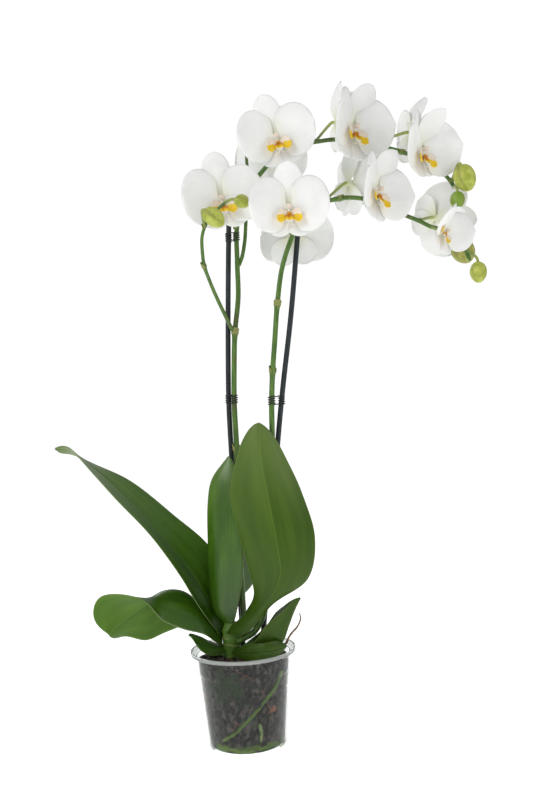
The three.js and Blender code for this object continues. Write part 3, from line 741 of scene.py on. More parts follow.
def makeBark(material):
    draw = random.Random(bark["seed"])
    shapes = [barkShape(k) for k in range(bark["shapes"])]
    chips = []
    for k in range(wallChips["count"]):
        chips += wallChip(draw, shapes)
    for k in range(topChips["count"]):
        chips.append(topChip(draw, shapes))
    for k in range(footChips["count"]):
        chips.append(footChip(draw, shapes, k / footChips["count"]))
    for shape in shapes:
        bpy.data.objects.remove(shape)
    piece = joinAll([makeCore()] + chips)
    keepInside(piece)
    shadeByAngle(piece, 35)
    finishPiece(piece, "bark_medium", [material], ["growing_medium"])


def keepInside(piece):
    # nothing stands past the inside of the wall or under the pot's floor
    for vertex in piece.data.vertices:
        place = vertex.co / mm
        place.z = max(place.z, bark["floor"])
        flat = Vector((place.x, place.y, 0))
        limit = innerRadius(min(place.z, pot["wallTop"])) - bark["wallGap"]
        if flat.length > limit:
            flat *= limit / flat.length
            place.x, place.y = flat.x, flat.y
        vertex.co = place * mm


def barkFinish():
    shader = Shader("bark", specular=0.3)
    tone = shader.marks()[0]
    place = shader.objectPlace()
    grain = shader.upright(place, 0.5, 210.0, 0.6)
    patches = shader.noise(place, 90.0, 3.0)
    damp = shader.noise(place, 26.0, 2.0)
    crumbs = shader.noise(place, 170.0, 3.0, 0.6)
    dark = shader.mix(tone, colour(13, 11, 10), colour(50, 43, 38))
    worn = shader.mix(grain.high(0.44, 0.2) * 0.9, dark, colour(108, 98, 93))
    spotted = shader.mix(crumbs.high(0.54, 0.06) * 0.85, worn, colour(14, 11, 10))
    orange = shader.mix(tone.high(0.93, 0.03) * patches.high(0.4, 0.2), spotted, colour(150, 96, 72))
    x, z = shader.apart(place)[::2]
    shade = z.high(35 * mm, 40 * mm) * x.low(-20 * mm, 40 * mm)
    green = (damp.high(0.46, 0.1) * shade + damp.high(0.6, 0.1) * 0.6) * patches.high(0.36, 0.15)
    mossy = shader.mix(green * 0.85, orange, colour(38, 58, 20))
    algae = shader.mix(z.low(8 * mm, 6 * mm) * patches.high(0.42, 0.15) * 0.8, mossy, colour(96, 130, 34))
    bump = shader.bump(grain * 0.7 + patches * 0.3, 0.6, 0.9 * mm)
    return shader.set(base=algae, roughness=0.72 + grain * 0.2, normal=bump)


makeBark(barkFinish())
print("stage: bark")


# Sheaths are the shares of the stem's length at which an old leaf's base ends, and the lengths in the second
# line are shares of it too
crown = {
    "radiusX": 10.2, "radiusY": 7.3, "rows": 90, "sides": 40,
    "sheaths": (0.3, 0.52, 0.72, 0.88), "slant": 0.045, "swell": 0.2, "lipDrop": 0.014, "marginWidth": 0.02,
    "flare": 0.13, "turnBetween": 2.4, "foot": 0.62, "footSpread": 1.1, "topLoss": 0.24, "topFrom": 0.86,
    "folds": 0.03, "foldTwist": 9,
}


def sheathReach(across, share):
    # how far each sheath stands off the stem here, and how near its edge is
    flare, margin = 0, 0
    for k, edge in enumerate(crown["sheaths"]):
        lip = edge + crown["slant"] * math.cos(2 * math.pi * across + crown["turnBetween"] * k)
        dropped = smoothStep(share, lip, lip + crown["lipDrop"])
        flare += smoothStep(share, lip - crown["swell"], lip) * (1 - dropped)
        margin = max(margin, 1 - min(1, abs(share - lip) / crown["marginWidth"]))
    return flare, margin


def makeCrown(material):
    def place(across, along):
        share = round(along * crown["rows"]) / crown["rows"]
        centre = crownRoute.at(share)
        size = min(1, crown["foot"] + share * crown["footSpread"])
        size *= 1 - crown["topLoss"] * smoothStep(share, crown["topFrom"], 1)
        folds = 1 + crown["folds"] * math.cos(6 * math.pi * across + crown["foldTwist"] * share)
        folds += crown["flare"] * sheathReach(across, share)[0]
        if share in (0, 1):
            size = 0
        turn = 2 * math.pi * across
        return centre + Vector((crown["radiusX"] * size * folds * math.cos(turn),
                                crown["radiusY"] * size * folds * math.sin(turn), 0))

    def marks(across, along):
        return (sheathReach(across, along)[1], 0, 0)

    piece = sheet(crown["sides"], crown["rows"], place, marks)
    closeUp(piece)
    shadeByAngle(piece, 50)
    finishPiece(piece, "crown_stem", [material], ["crown"])


def crownFinish():
    shader = Shader("crown_green", specular=0.4)
    place = shader.objectPlace()
    margin = shader.marks()[0]
    streak = shader.upright(place, 0.2, 260.0)
    spots = shader.noise(place, 120.0, 3.0)
    base = shader.mix(streak, colour(54, 88, 20), colour(92, 130, 40))
    pale = shader.mix(spots.high(0.7, 0.05) * 0.35, base, colour(190, 200, 150))
    dry = shader.mix(margin * spots.high(0.35, 0.25) * 0.8, pale, colour(132, 116, 74))
    return shader.set(base=dry, roughness=0.5, normal=shader.bump(streak, 0.3, 0.4 * mm))


# Thins is the share of its radius that a root loses by its tip, and the power of its length that it goes by
roots = {
    "green": {"slot": "green_root", "seed": 5, "thins": (0.35, 3), "low": (80, 114, 32),
              "high": (114, 146, 50), "tip": (122, 152, 48), "roughness": 0.45, "dryness": 0.3},
    "ring": {"slot": "green_root", "seed": 4, "thins": (0.35, 3), "low": (86, 118, 30),
             "high": (124, 152, 54), "tip": (130, 154, 60), "roughness": 0.4, "dryness": 0.3},
    "pale": {"slot": "pale_root", "seed": 4, "thins": (0.35, 3), "low": (112, 142, 72),
             "high": (158, 176, 116), "tip": (150, 170, 90), "roughness": 0.55, "dryness": 0.4},
    "dry": {"slot": "dry_root", "seed": 3, "thins": (0.62, 0.7), "low": (112, 86, 62),
            "high": (178, 150, 118), "tip": (186, 164, 136), "roughness": 0.85, "dryness": 0.9},
}
rootForm = {"steps": 70, "sides": 18, "wobble": 0.3, "wobbleScale": (20, 0.5)}


def makeRoot(kind, root):
    loss, power = root["thins"]
    lengthwise, girth = rootForm["wobbleScale"]

    def radiusAt(share, across):
        turn = 2 * math.pi * across
        spot = Vector((root["seed"] + share * lengthwise, math.cos(turn) * girth, math.sin(turn) * girth))
        wobble = noise.noise(spot)
        return rootRadius[kind] * (1 - loss * share ** power) * (1 + rootForm["wobble"] * wobble)

    piece = tube(rootRoutes[kind], radiusAt, rootForm["steps"], rootForm["sides"])
    finishPiece(piece, "root_" + kind + "_piece", [rootFinish(kind, root)], ["root_" + kind])


def rootFinish(kind, root):
    shader = Shader("root_" + kind, specular=0.35)
    place = shader.objectPlace()
    along = shader.apart(shader.uvPlace())[1]
    mottle = shader.noise(place, 170.0, 4.0)
    fine = shader.noise(place, 900.0, 3.0)
    base = shader.mix(mottle.high(0.35, 0.35), colour(*root["low"]), colour(*root["high"]))
    ended = shader.mix(along.high(0.86, 0.12), base, colour(*root["tip"]))
    bump = shader.bump(mottle * (1 - root["dryness"] * 0.5) + fine * root["dryness"], 0.4, 0.6 * mm)
    return shader.set(base=ended, roughness=root["roughness"], normal=bump)


makeCrown(crownFinish())
for rootKind, rootLook in roots.items():
    makeRoot(rootKind, rootLook)
print("stage: crown and roots")


# Each station holds the near edge, the midrib and the far edge, from the crown to the tip
leafShapes = {
    "leaf_long_left": [
        [[-24, -3, 122], [-23, 4, 127], [-17, 9, 132]],
        [[-47, -21, 164], [-41, 9, 167], [-24, 28, 188]],
        [[-65, -25, 199], [-60, 13, 199], [-34, 36, 219]],
        [[-97, -17, 245], [-95, 20, 246], [-76, 46, 259]],
        [[-137, -2, 287], [-136, 30, 291], [-127, 54, 302]],
        [[-168, 14, 320], [-169, 38, 321], [-166, 58, 322]],
        [[-193, 30, 346], [-196, 46, 342], [-199, 60, 337]],
        [[-209, 36, 352], [-213, 48, 345], [-214, 60, 336]],
    ],
    "leaf_lower_left": [
        [[-24, -7, 113], [-24, -1, 119], [-22, 6, 125]],
        [[-42, -24, 132], [-42, 2, 153], [-42, 24, 128]],
        [[-64, -26, 139], [-65, 6, 175], [-64, 30, 131]],
        [[-87, -27, 151], [-89, 5, 177], [-90, 28, 125]],
        [[-109, -30, 176], [-108, 4, 165], [-114, 26, 117]],
        [[-154, -24, 181], [-135, 2, 148], [-138, 18, 124]],
        [[-185, -16, 158], [-153, -3, 134], [-152, 9, 116]],
    ],
    "leaf_upright": [
        [[-8, -4.8, 139.5], [-15, -0.5, 136], [-10, 6, 140]],
        [[-3, -10, 158], [-29, 0, 152], [-14, 20, 150]],
        [[5, -13, 201], [-34, 5, 198], [14, 40, 174]],
        [[7, -13, 225], [-33, 7, 232], [20, 43, 209]],
        [[8, -11, 262], [-31, 8, 273], [20, 41, 250]],
        [[7, -6, 296], [-25, 8, 301], [3, 33, 290]],
        [[8, 0, 322], [-5, 6, 327], [-9, 21, 318]],
    ],
    "leaf_front": [
        [[-7, -6, 139], [-13, -7, 133], [-18, -6, 127]],
        [[6, -13, 153], [2, -20, 142], [5, -26, 131]],
        [[16, -24, 172], [25, -38, 161], [37, -37, 165]],
        [[15, -30, 190], [46, -51, 197], [77, -37, 191]],
        [[4, -30, 240], [44, -53, 237], [87, -35, 235]],
        [[-4, -28, 286], [37, -49, 286], [75, -33, 286]],
        [[4, -26, 329], [32, -42, 327], [60, -31, 327]],
        [[8, -26, 362], [31, -34, 365], [54, -30, 360]],
    ],
    "leaf_folded_right": [
        [[-7, -12, 109], [-7, -9, 106], [-4, -8, 110]],
        [[14, -32, 123], [20, -27, 109], [20, -15, 129]],
        [[28, -38, 142], [43, -32, 119], [31, -20, 141]],
        [[42, -41, 153], [53, -35, 140], [40, -26, 153]],
        [[54, -41, 163], [60, -37, 157], [51, -32, 163]],
        [[63, -41, 173], [67, -38, 170], [61, -35, 172]],
    ],
    "leaf_front_short": [
        [[-11, -9, 107], [-10, -10, 104], [-10, -11, 102]],
        [[7, -34, 121], [8, -37, 112], [8, -36, 103]],
        [[24, -45, 124], [24, -46.5, 115], [24, -45, 105]],
        [[37, -41, 125], [38, -42.5, 116], [37, -41, 107]],
        [[48, -34, 122], [49, -33, 117], [48, -33, 111]],
    ],
    "leaf_left_short": [
        [[-20, -7, 106], [-21, -3, 109], [-23, 1, 112]],
        [[-33, -25, 108], [-36, -16, 117], [-41, -7, 122]],
        [[-45, -33, 116], [-47, -22, 125], [-51, -13, 129]],
        [[-55, -33, 130], [-58, -26, 133], [-60, -18, 134]],
    ],
}

leafForm = {
    "crease": 0.45, "tipStart": 0.78, "tipPower": 2.2, "tipLeast": 0.02, "rows": 76, "columns": 44,
    "thickness": 2.4, "edge": 0.34, "edgePower": 2.5, "rowSpacing": 1.35, "groove": 0.5, "grooveWidth": 0.06,
    "wave": 0.8, "waveScale": (1.6, 4), "facingStep": 0.02, "firstSeed": 0.7, "seedStep": 3.1,
}

# The finishes of a leaf's two sides: the one whose normal is across by along, then the other
leafSides = {
    "leaf_long_left": ("upper", "under"), "leaf_lower_left": ("upper", "pale"),
    "leaf_upright": ("upper", "upper"), "leaf_front": ("under", "upper"),
    "leaf_folded_right": ("under", "upper"), "leaf_front_short": ("under", "upper"),
    "leaf_left_short": ("upper", "under"),
}


def leafTip(along):
    past = max(0, (along - leafForm["tipStart"]) / (1 - leafForm["tipStart"]))
    return max(leafForm["tipLeast"], math.sqrt(max(0, 1 - min(1, past) ** leafForm["tipPower"])))


def leafPlace(stations, seed):
    rails = [[Vector(station[k]) for station in stations] for k in range(3)]
    step = leafForm["facingStep"]
    wide, long = leafForm["waveScale"]

    def place(u, v):
        along = 1 - (1 - v) ** leafForm["rowSpacing"]
        across = 2 * u - 1
        near, rib, far = [curvePoint(rail, along) for rail in rails]
        folded = rib.lerp(near if across < 0 else far, abs(across))
        spot = rib.lerp(bowed(near, rib, far, across).lerp(folded, leafForm["crease"]), leafTip(along))
        ahead = curvePoint(rails[1], min(along + step, 1)) - curvePoint(rails[1], along - step)
        facing = (far - near).cross(ahead)
        if facing.length > 1e-6:
            ripple = noise.noise(Vector((seed, across * wide, along * long))) * leafForm["wave"]
            groove = leafForm["groove"] * math.exp(-(across / leafForm["grooveWidth"]) ** 2)
            spot += facing.normalized() * (ripple * across * across - groove)
        return spot

    return place


def leafWeight(across, along):
    return 1 - abs(across) ** leafForm["edgePower"]


def makeLeaf(name, stations, seed, finishes):
    first, second = leafSides[name]
    piece = sheet(leafForm["columns"], leafForm["rows"], leafPlace(stations, seed))
    giveMaterials(piece, [finishes[first], finishes[second]])
    thickenBlade(piece, leafForm, leafWeight, material_offset=1)
    finishPiece(piece, name + "_blade", [], [name])


# The last value of each finish is how far its side is darkened towards the crown, as painted shade
leafTones = {
    "upper": {"dark": (40, 78, 8), "light": (76, 116, 20), "rib": (78, 118, 36), "gloss": 0.26,
              "specular": 0.38, "coat": 0.2, "paintedShade": 0.42},
    "under": {"dark": (52, 80, 10), "light": (72, 100, 18), "rib": (90, 116, 38), "gloss": 0.36,
              "specular": 0.2, "coat": 0.04, "paintedShade": 0.42},
    "pale": {"dark": (66, 104, 14), "light": (88, 126, 26), "rib": (106, 140, 50), "gloss": 0.42,
             "specular": 0.22, "coat": 0.04, "paintedShade": 0.12},
}


def leafFinish(kind, tones):
    shader = Shader("leaf_" + kind, specular=tones["specular"], coat=tones["coat"], coatRoughness=0.25)
    across = shader.apart(shader.uvPlace())[0]
    place = shader.objectPlace()
    fibres = shader.streaks(140, 3, 3.0)
    broad = shader.streaks(5, 2.5)
    speckle = shader.noise(place, 700.0, 2.0)
    fromMiddle = shader.node("Math", {"operation": "ABSOLUTE"}, {0: across - 0.5})
    rib = fromMiddle.low(0.003, 0.009)
    margin = fromMiddle.high(0.488, 0.008)
    blend = broad * 0.55 + fibres * 0.3 + speckle * 0.15
    green = shader.mix(blend.high(0.32, 0.36), colour(*tones["dark"]), colour(*tones["light"]))
    ribbed = shader.mix(rib * 0.6, green, colour(*tones["rib"]))
    edged = shader.mix(margin * 0.5, ribbed, colour(136, 156, 84))
    height = shader.apart(place)[2]
    # painted shade: each side is darkened towards the crown, as the shade that falls there
    paintedShade = shader.mix(height.low(110 * mm, 150 * mm) * tones["paintedShade"], edged, colour(24, 44, 8))
    # painted sheen: higher up, the leaves are lightened towards a pale whitish green, as the sheen of the
    # light on them
    paintedSheen = shader.mix(height.high(240 * mm, 120 * mm) * 0.22, paintedShade, colour(154, 174, 108))
    bump = shader.bump(fibres * 0.25 + broad * 0.4 + speckle * 0.1, 0.3, 0.6 * mm)
    return shader.set(base=paintedSheen, roughness=tones["gloss"] + broad * 0.12, normal=bump)


leafFinishes = {kind: leafFinish(kind, tones) for kind, tones in leafTones.items()}
for index, (leafName, leafStations) in enumerate(leafShapes.items()):
    leafSeed = leafForm["seedStep"] * index + leafForm["firstSeed"]
    makeLeaf(leafName, leafStations, leafSeed, leafFinishes)
print("stage: leaves")


stake = {"radius": 3, "sides": 28, "steps": 60}


def stakeFinish():
    shader = Shader("stake_dark", specular=0.4)
    place = shader.objectPlace()
    grain = shader.upright(place, 0.06, 900.0)
    scuff = shader.noise(place, 60.0, 3.0)
    base = shader.mix(grain.high(0.35, 0.35), colour(24, 30, 33), colour(46, 54, 58))
    worn = shader.mix(scuff.high(0.6, 0.15) * 0.4, base, colour(70, 78, 80))
    return shader.set(base=worn, roughness=0.42 + scuff * 0.2, normal=shader.bump(grain, 0.25, 0.3 * mm))


def makeStakes(material):
    for hand, route in stakeRoutes.items():
        piece = tube(route, lambda share, across: stake["radius"], stake["steps"], stake["sides"])
        finishPiece(piece, "stake_" + hand, [material], ["support_stake_" + hand])


makeStakes(stakeFinish())
print("stage: stakes")


# Claw is the narrow foot's share of the half width, and back is how far the tepal stands behind the centre
petal = {"length": 47, "halfWidth": 31, "claw": 0.1, "start": 0.05, "broadest": 0.45, "power": 0.36,
         "back": -1.6, "cup": 11, "arch": 4, "crease": 0.9, "blush": 0}
dorsal = {"length": 49, "halfWidth": 16.5, "claw": 0.17, "start": 0, "broadest": 0.56, "power": 1,
          "back": 1.6, "cup": 13, "arch": 2, "crease": 0.45, "blush": 0.3}
lateral = {"length": 36, "halfWidth": 16, "claw": 0.17, "start": 0, "broadest": 0.56, "power": 1,
           "back": 1.6, "cup": 3, "arch": 2, "crease": 0.45, "blush": 0.5}
tepalForm = {
    "thickness": 0.8, "edge": 0.12, "rows": 30, "columns": 24, "hub": 0.03, "creaseWidth": 0.13,
    "wave": 1.1, "waveScale": (1.3, 2.6), "frill": 0.5, "frillScale": (2.5, 6), "uneven": 0.015,
}
bloomForm = {
    "tilt": 13, "spread": (5, 175), "dorsal": 90, "laterals": (-57, -123), "nodShare": 0.3,
    "lateralTilt": 0.15, "firstSeed": 100, "waveSeed": 7.3, "hubBack": 6,
}

# Places are the centres where the tepals meet. Turns are yaw to the right, pitch down and roll clockwise.
# Spread, dorsal and laterals are the tepals' own turns, nod is how far the dorsal one leans forward, and from
# is where the pedicel leaves the stem.
bloomPlaces = [
    {"name": "01", "at": (68, -11, 686), "turn": (0, -6, -11), "spread": (7, 170), "dorsal": 97,
     "laterals": (-52, -115), "stem": "left", "from": (64, 18, 668)},
    {"name": "02", "at": (2, -11, 620), "turn": (8, -4, -7), "scale": 1.05, "spread": (5, 173),
     "stem": "left", "from": (18, 16, 588)},
    {"name": "03", "at": (77, -43, 600), "turn": (0, -4, 0), "stem": "right", "from": (80, -20, 572)},
    {"name": "04", "at": (155, -3, 695), "turn": (40, -2, 13), "tilt": 18, "scale": 1.07, "spread": (16, 173),
     "dorsal": 82, "nod": 14, "laterals": (-62, -106), "stem": "left", "from": (158, 18, 686)},
    {"name": "05", "at": (174, -37, 615), "turn": (47, -2, 21), "tilt": 15, "spread": (12, 178),
     "dorsal": 88, "nod": 9, "laterals": (-62, -98), "stem": "right", "from": (172, -15, 608)},
    {"name": "06", "at": (231, -6, 664), "turn": (42, -2, 12), "tilt": 18, "scale": 1.05, "spread": (20, 168),
     "dorsal": 92, "nod": 26, "laterals": (-40, -95), "short": 0.85, "stem": "left", "from": (222, 18, 667)},
    {"name": "07", "at": (252, 34, 594), "turn": (134, 0, -103), "tilt": 12, "spread": (10, 158),
     "laterals": (-57, -112), "stem": "right", "from": (223, -15, 583)},
    {"name": "08", "at": (248, -33, 566), "turn": (45, 0, 57), "tilt": 28, "scale": 0.72, "spread": (55, 180),
     "dorsal": 105, "laterals": (-35, -80), "stem": "right", "from": (237, -14, 576)},
    {"name": "09", "at": (61, 50, 681), "turn": (176, 0, 0), "stem": "left", "from": (68, 18, 671)},
    {"name": "10", "at": (82, 10, 576), "turn": (165, 0, 0), "spread": (14, 175),
     "stem": "right", "from": (67, -21, 538)},
    {"name": "11", "at": (144, 54, 718), "turn": (110, 0, 0), "tilt": 25, "nod": -4,
     "stem": "left", "from": (113, 18, 686)},
    {"name": "12", "at": (153, 30, 639), "turn": (125, 0, 0), "scale": 1.05, "spread": (-4, 172),
     "laterals": (-38, -98), "stem": "right", "from": (118, -15, 610)},
    {"name": "13", "at": (231, 46, 699), "turn": (122, 0, 0), "tilt": 8, "nod": 15, "spread": (5, 215),
     "laterals": (-62, -100), "stem": "left", "from": (180, 18, 681)},
]


def seededDraw(seed):
    # the CAD's own simple random numbers, so that the blooms open as its solids do
    state = seed
    while True:
        state = (state * 1664525 + 1013904223) % 4294967296
        yield state / 4294967296


def tepalWidth(kind, along):
    claw, start, broadest = kind["claw"], kind["start"], kind["broadest"]
    if along < broadest:
        share = max(0, (along - start) / (broadest - start)) ** kind["power"]
        return kind["halfWidth"] * (claw + (1 - claw) * math.sin(math.pi / 2 * share))
    past = (along - broadest) / (1 - broadest)
    return kind["halfWidth"] * math.sqrt(max(0.0004, 1 - past * past))


def tepalRow(v):
    # rows lie closer together at the claw and at the tip
    return between(v * v * (3 - 2 * v), v, 0.3)


def tepalWeight(across, along):
    return (1 - abs(across) ** 4) * (1 - along ** 6)


def makeTepal(kind, degrees, tiltDegrees, cup, seed):
    # cup is how far the tip curls forward
    turn, tilt = math.radians(degrees), math.radians(tiltDegrees)
    lean, upright = math.sin(tilt), math.cos(tilt)
    axis = Vector((math.cos(turn) * upright, -lean, math.sin(turn) * upright))
    face = Vector((-math.cos(turn) * lean, -upright, -math.sin(turn) * lean))
    side = Vector((-math.sin(turn), 0, math.cos(turn)))
    (waveWide, waveLong), (frillWide, frillLong) = tepalForm["waveScale"], tepalForm["frillScale"]
    hub = tepalForm["hub"]

    def place(u, v):
        along = tepalRow(v)
        across = 2 * u - 1
        wave = noise.noise(Vector((seed, across * waveWide, along * waveLong))) * tepalForm["wave"]
        frill = noise.noise(Vector((seed + 40, across * frillWide, along * frillLong))) * tepalForm["frill"]
        crease = -kind["crease"] * math.exp(-(across / tepalForm["creaseWidth"]) ** 2) * (1 - along)
        rise = cup * along * along - kind["arch"] * across * across * along
        lift = rise + (wave * across * across + frill * abs(across) ** 3) * along + crease
        uneven = tepalForm["uneven"] * noise.noise(Vector((seed + 9, along * 5, across)))
        width = tepalWidth(kind, along) * (1 + uneven)
        spot = axis * (kind["length"] * (hub + (1 - hub) * along)) + side * (width * across) + face * lift
        spot.y += kind["back"]
        return spot

    def marks(u, v):
        along = tepalRow(v)
        return (1 - smoothStep(along, 0.02, 0.3), kind["blush"] * (1 - smoothStep(along, 0.05, 0.6)), 0)

    piece = sheet(tepalForm["columns"], tepalForm["rows"], place, marks)
    thickenBlade(piece, tepalForm, tepalWeight)
    return piece


column = {
    "neck": [(0, 6, 0), (0, 3, 0), (0, 0, 0), (0, -3, 0)], "neckRadius": (2.1, 4.4),
    "post": [(0, 1, 0.2), (0, -3, 0.2), (0, -6, 0), (0, -9.2, -0.6), (0, -10.4, -1.4)],
    "postRadius": 2.5, "waist": 0.5, "waistEnd": 0.7, "cap": 0.35, "capFrom": (0.62, 0.86),
}


def makeColumn():
    # the neck behind the tepals, and the column with its cap in front
    def neckRadius(share, across):
        return between(*column["neckRadius"], share ** 1.5)

    def postRadius(share, across):
        waist = column["waist"] * math.sin(math.pi * min(1, share / column["waistEnd"]))
        return column["postRadius"] - waist + column["cap"] * smoothStep(share, *column["capFrom"])

    def neckMarks(share, across):
        return (1, 0.8 - 0.8 * share, 0)

    def postMarks(share, across):
        return (0.15, 0, 0.5 + 0.4 * share)

    back = tube(Route(column["neck"]), neckRadius, 10, 16, neckMarks)
    front = tube(Route(column["post"]), postRadius, 18, 20, postMarks)
    return [back, front]


def bloomMatrix(bloom):
    yaw, pitch, roll = [math.radians(angle) for angle in bloom["turn"]]
    return (Matrix.Translation(Vector(bloom["at"]) * mm) @ Matrix.Rotation(yaw, 4, "Z")
            @ Matrix.Rotation(pitch, 4, "X") @ Matrix.Rotation(roll, 4, "Y"))


def makeBloom(bloom, index, material):
    draw = seededDraw(bloomForm["firstSeed"] + index)
    parts = []

    def vary(amount):
        return amount * (next(draw) - 0.5)

    def addTepal(kind, degrees, tilt):
        cup = kind["cup"] + vary(3)
        parts.append(makeTepal(kind, degrees, tilt, cup, index * bloomForm["waveSeed"] + len(parts)))

    tilt = bloom.get("tilt", bloomForm["tilt"])
    for degrees in bloom.get("spread", bloomForm["spread"]):
        addTepal(petal, degrees + vary(3), tilt + vary(3))
    nod = bloom.get("nod", tilt * bloomForm["nodShare"])
    addTepal(dorsal, bloom.get("dorsal", bloomForm["dorsal"]) + vary(4), nod)
    shortened = {**lateral, "length": lateral["length"] * bloom.get("short", 1)}
    for degrees in bloom.get("laterals", bloomForm["laterals"]):
        addTepal(shortened, degrees + vary(5), tilt * bloomForm["lateralTilt"])
    piece = joinAll(parts + makeColumn())
    piece.data.transform(bloomMatrix(bloom) @ Matrix.Scale(bloom.get("scale", 1), 4))
    finishPiece(piece, "flower_" + bloom["name"], [material], ["bloom_" + bloom["name"]])


def tepalFinish():
    shader = Shader("petal_white", scatter=0.22, scatterRadius=(1, 0.95, 0.85), scatterScale=3 * mm,
                    specular=0.25, sheen=0.1)
    foot, stalk, pink = shader.marks()
    veins = shader.streaks(34, 2.4)
    soft = shader.noise(shader.objectPlace(), 45.0, 2.0)
    sparkle = shader.noise(shader.objectPlace(), 1500.0, 2.0)
    white = shader.mix(soft.high(0.35, 0.4), colour(240, 241, 239), colour(246, 246, 244))
    veined = shader.mix(veins.high(0.5, 0.25) * 0.35, white, colour(234, 236, 231))
    throat = shader.mix(foot * 0.42, veined, colour(238, 236, 204))
    green = shader.mix(stalk * 0.85, throat, colour(204, 212, 142))
    rosy = shader.mix(pink * 0.75, green, colour(226, 204, 186))
    bump = shader.bump(veins * 0.7 + sparkle * 0.3, 0.22, 0.4 * mm)
    return shader.set(base=rosy, roughness=0.62, normal=bump)


tepalMaterial = tepalFinish()
for index, bloom in enumerate(bloomPlaces):
    makeBloom(bloom, index, tepalMaterial)
print("stage: blooms")


# Lobe stations hold the lower, middle and upper edge of a side lobe, from its foot to its tip. The thread and
# the callus's ridge are those of one hand, and are mirrored for the other.
lip = {
    "thickness": 0.7, "rows": 18, "columns": 18, "frill": 0.9, "frillScale": (2.2, 3.4),
    "lobeStations": [
        [(1, -6.5, -12), (1.2, -5.5, -9), (1, -4.4, -6)],
        [(5, -9, -16.5), (6, -7, -11), (4.8, -6, -3.5)],
        [(9.5, -11.5, -19), (11, -9.5, -12.5), (8.8, -8.8, -2.8)],
        [(13.4, -13.5, -17), (13.6, -12.5, -13), (12.4, -11, -6)],
    ],
    "middleStart": (0, -6.8, -9), "middleReach": (0, -4.6, -11), "middleWidth": 4.6, "middleBend": 1.4,
    "keel": 0.8,
    "thread": [(0.6, -12.6, -19.6), (1.8, -13.6, -22.2), (3.6, -13, -23.4), (4.6, -11.2, -22.4),
               (4.2, -10.2, -20.6)],
    "threadRadius": 0.42, "threadLoss": 0.2,
    "ridge": [(0.8, -5.6, -8.4), (1.1, -7.6, -8.6), (0.9, -9.3, -9.8)], "ridgeRadius": 1.2, "ridgeSwell": 0.4,
    "claw": [(0, -4.2, -3.3), (0, -5, -6.5), (0, -7, -9.3)], "clawRadius": 1.3,
}


def lipSheet(place, marks):
    piece = sheet(lip["columns"], lip["rows"], place, marks)
    thicken(piece, lip["thickness"])
    return piece


def sideLobe(hand):
    rails = [[Vector(station[k]) for station in lip["lobeStations"]] for k in range(3)]
    wide, long = lip["frillScale"]

    def place(u, v):
        across = 2 * u - 1
        lower, middle, upper = [curvePoint(rail, v) for rail in rails]
        spot = bowed(lower, middle, upper, across)
        frill = noise.noise(Vector((3 + across * wide, v * long, 1))) * lip["frill"]
        return Vector((hand * spot.x, spot.y - frill * (across * across + v * v), spot.z))

    def marks(u, v):
        across = 2 * u - 1
        yellow = smoothStep(v, 0.12, 0.42) * (1 - smoothStep(across, 0.05, 0.5))
        brown = 0.7 * (1 - smoothStep(v, 0.1, 0.4)) * (1 - smoothStep(across, -0.2, 0.5)) + 0.16 * yellow
        return (yellow, brown, smoothStep(across, 0, 0.6) * (1 - 0.4 * v))

    return lipSheet(place, marks)


def middleLobe():
    start, axis = Vector(lip["middleStart"]), Vector(lip["middleReach"])

    def place(u, v):
        across = 2 * u - 1
        narrowed = 1 if v < 0.9 else 1 - 0.5 * (v - 0.9) / 0.1
        width = lip["middleWidth"] * (0.35 + math.sin(math.pi * v ** 0.9) * 0.65) * narrowed
        spot = start + axis * v
        spot.x += width * across
        spot.y -= v * v + across * across * lip["middleBend"] - lip["keel"] * math.exp(-(across / 0.25) ** 2)
        return spot

    def marks(u, v):
        return (1 - smoothStep(v, 0.55, 0.85), (1 - smoothStep(v, 0.25, 0.7)) * 0.5, 0.2)

    return lipSheet(place, marks)


def handed(points, hand, fineness):
    return Route([(hand * x, y, z) for x, y, z in points], fineness)


def lipThread(hand):
    def radiusAt(share, across):
        return lip["threadRadius"] - lip["threadLoss"] * share

    return tube(handed(lip["thread"], hand, 60), radiusAt, 14, 8, lambda share, across: (0.25, 0, 0.1))


def lipRidge(hand):
    def radiusAt(share, across):
        return lip["ridgeRadius"] + lip["ridgeSwell"] * math.sin(math.pi * share)

    def marks(share, across):
        return (0.95, 0.25 + 0.3 * share, 0)

    return tube(handed(lip["ridge"], hand, 40), radiusAt, 8, 12, marks)


def lipClaw():
    route = Route(lip["claw"], 40)
    return tube(route, lambda share, across: lip["clawRadius"], 8, 12, lambda share, across: (0.2, 0.1, 0.3))


def makeLipShape():
    return joinAll([sideLobe(-1), sideLobe(1), middleLobe(), lipThread(-1), lipThread(1), lipRidge(-1),
                    lipRidge(1), lipClaw()])


def makeLips(material):
    model = makeLipShape()
    for bloom in bloomPlaces:
        piece = copyOf(model)
        piece.data.transform(bloomMatrix(bloom) @ Matrix.Scale(bloom.get("scale", 1), 4))
        finishPiece(piece, "flower_lip_" + bloom["name"], [material], ["lip_" + bloom["name"]])
    bpy.data.objects.remove(model)


def lipFinish():
    shader = Shader("lip_yellow", scatter=0.25, scatterRadius=(1, 0.8, 0.5), scatterScale=3 * mm,
                    specular=0.35)
    yellow, brown, pink = shader.marks()
    patch = shader.noise(shader.objectPlace(), 320.0, 2.0)
    lines = shader.streaks(26, 3)
    base = shader.mix(pink * 0.8, colour(246, 243, 234), colour(234, 212, 190))
    gold = shader.mix((yellow * 1.2 + patch * 1.1 - 0.62).high(0.3, 0.3), base, colour(244, 204, 40))
    rust = shader.mix((brown * 1.3 + lines * 1.3 - 0.68).high(0.3, 0.25) * 0.8, gold, colour(192, 112, 44))
    return shader.set(base=rust, roughness=0.5, normal=shader.bump(patch, 0.3, 0.4 * mm))


makeLips(lipFinish())
print("stage: lips")


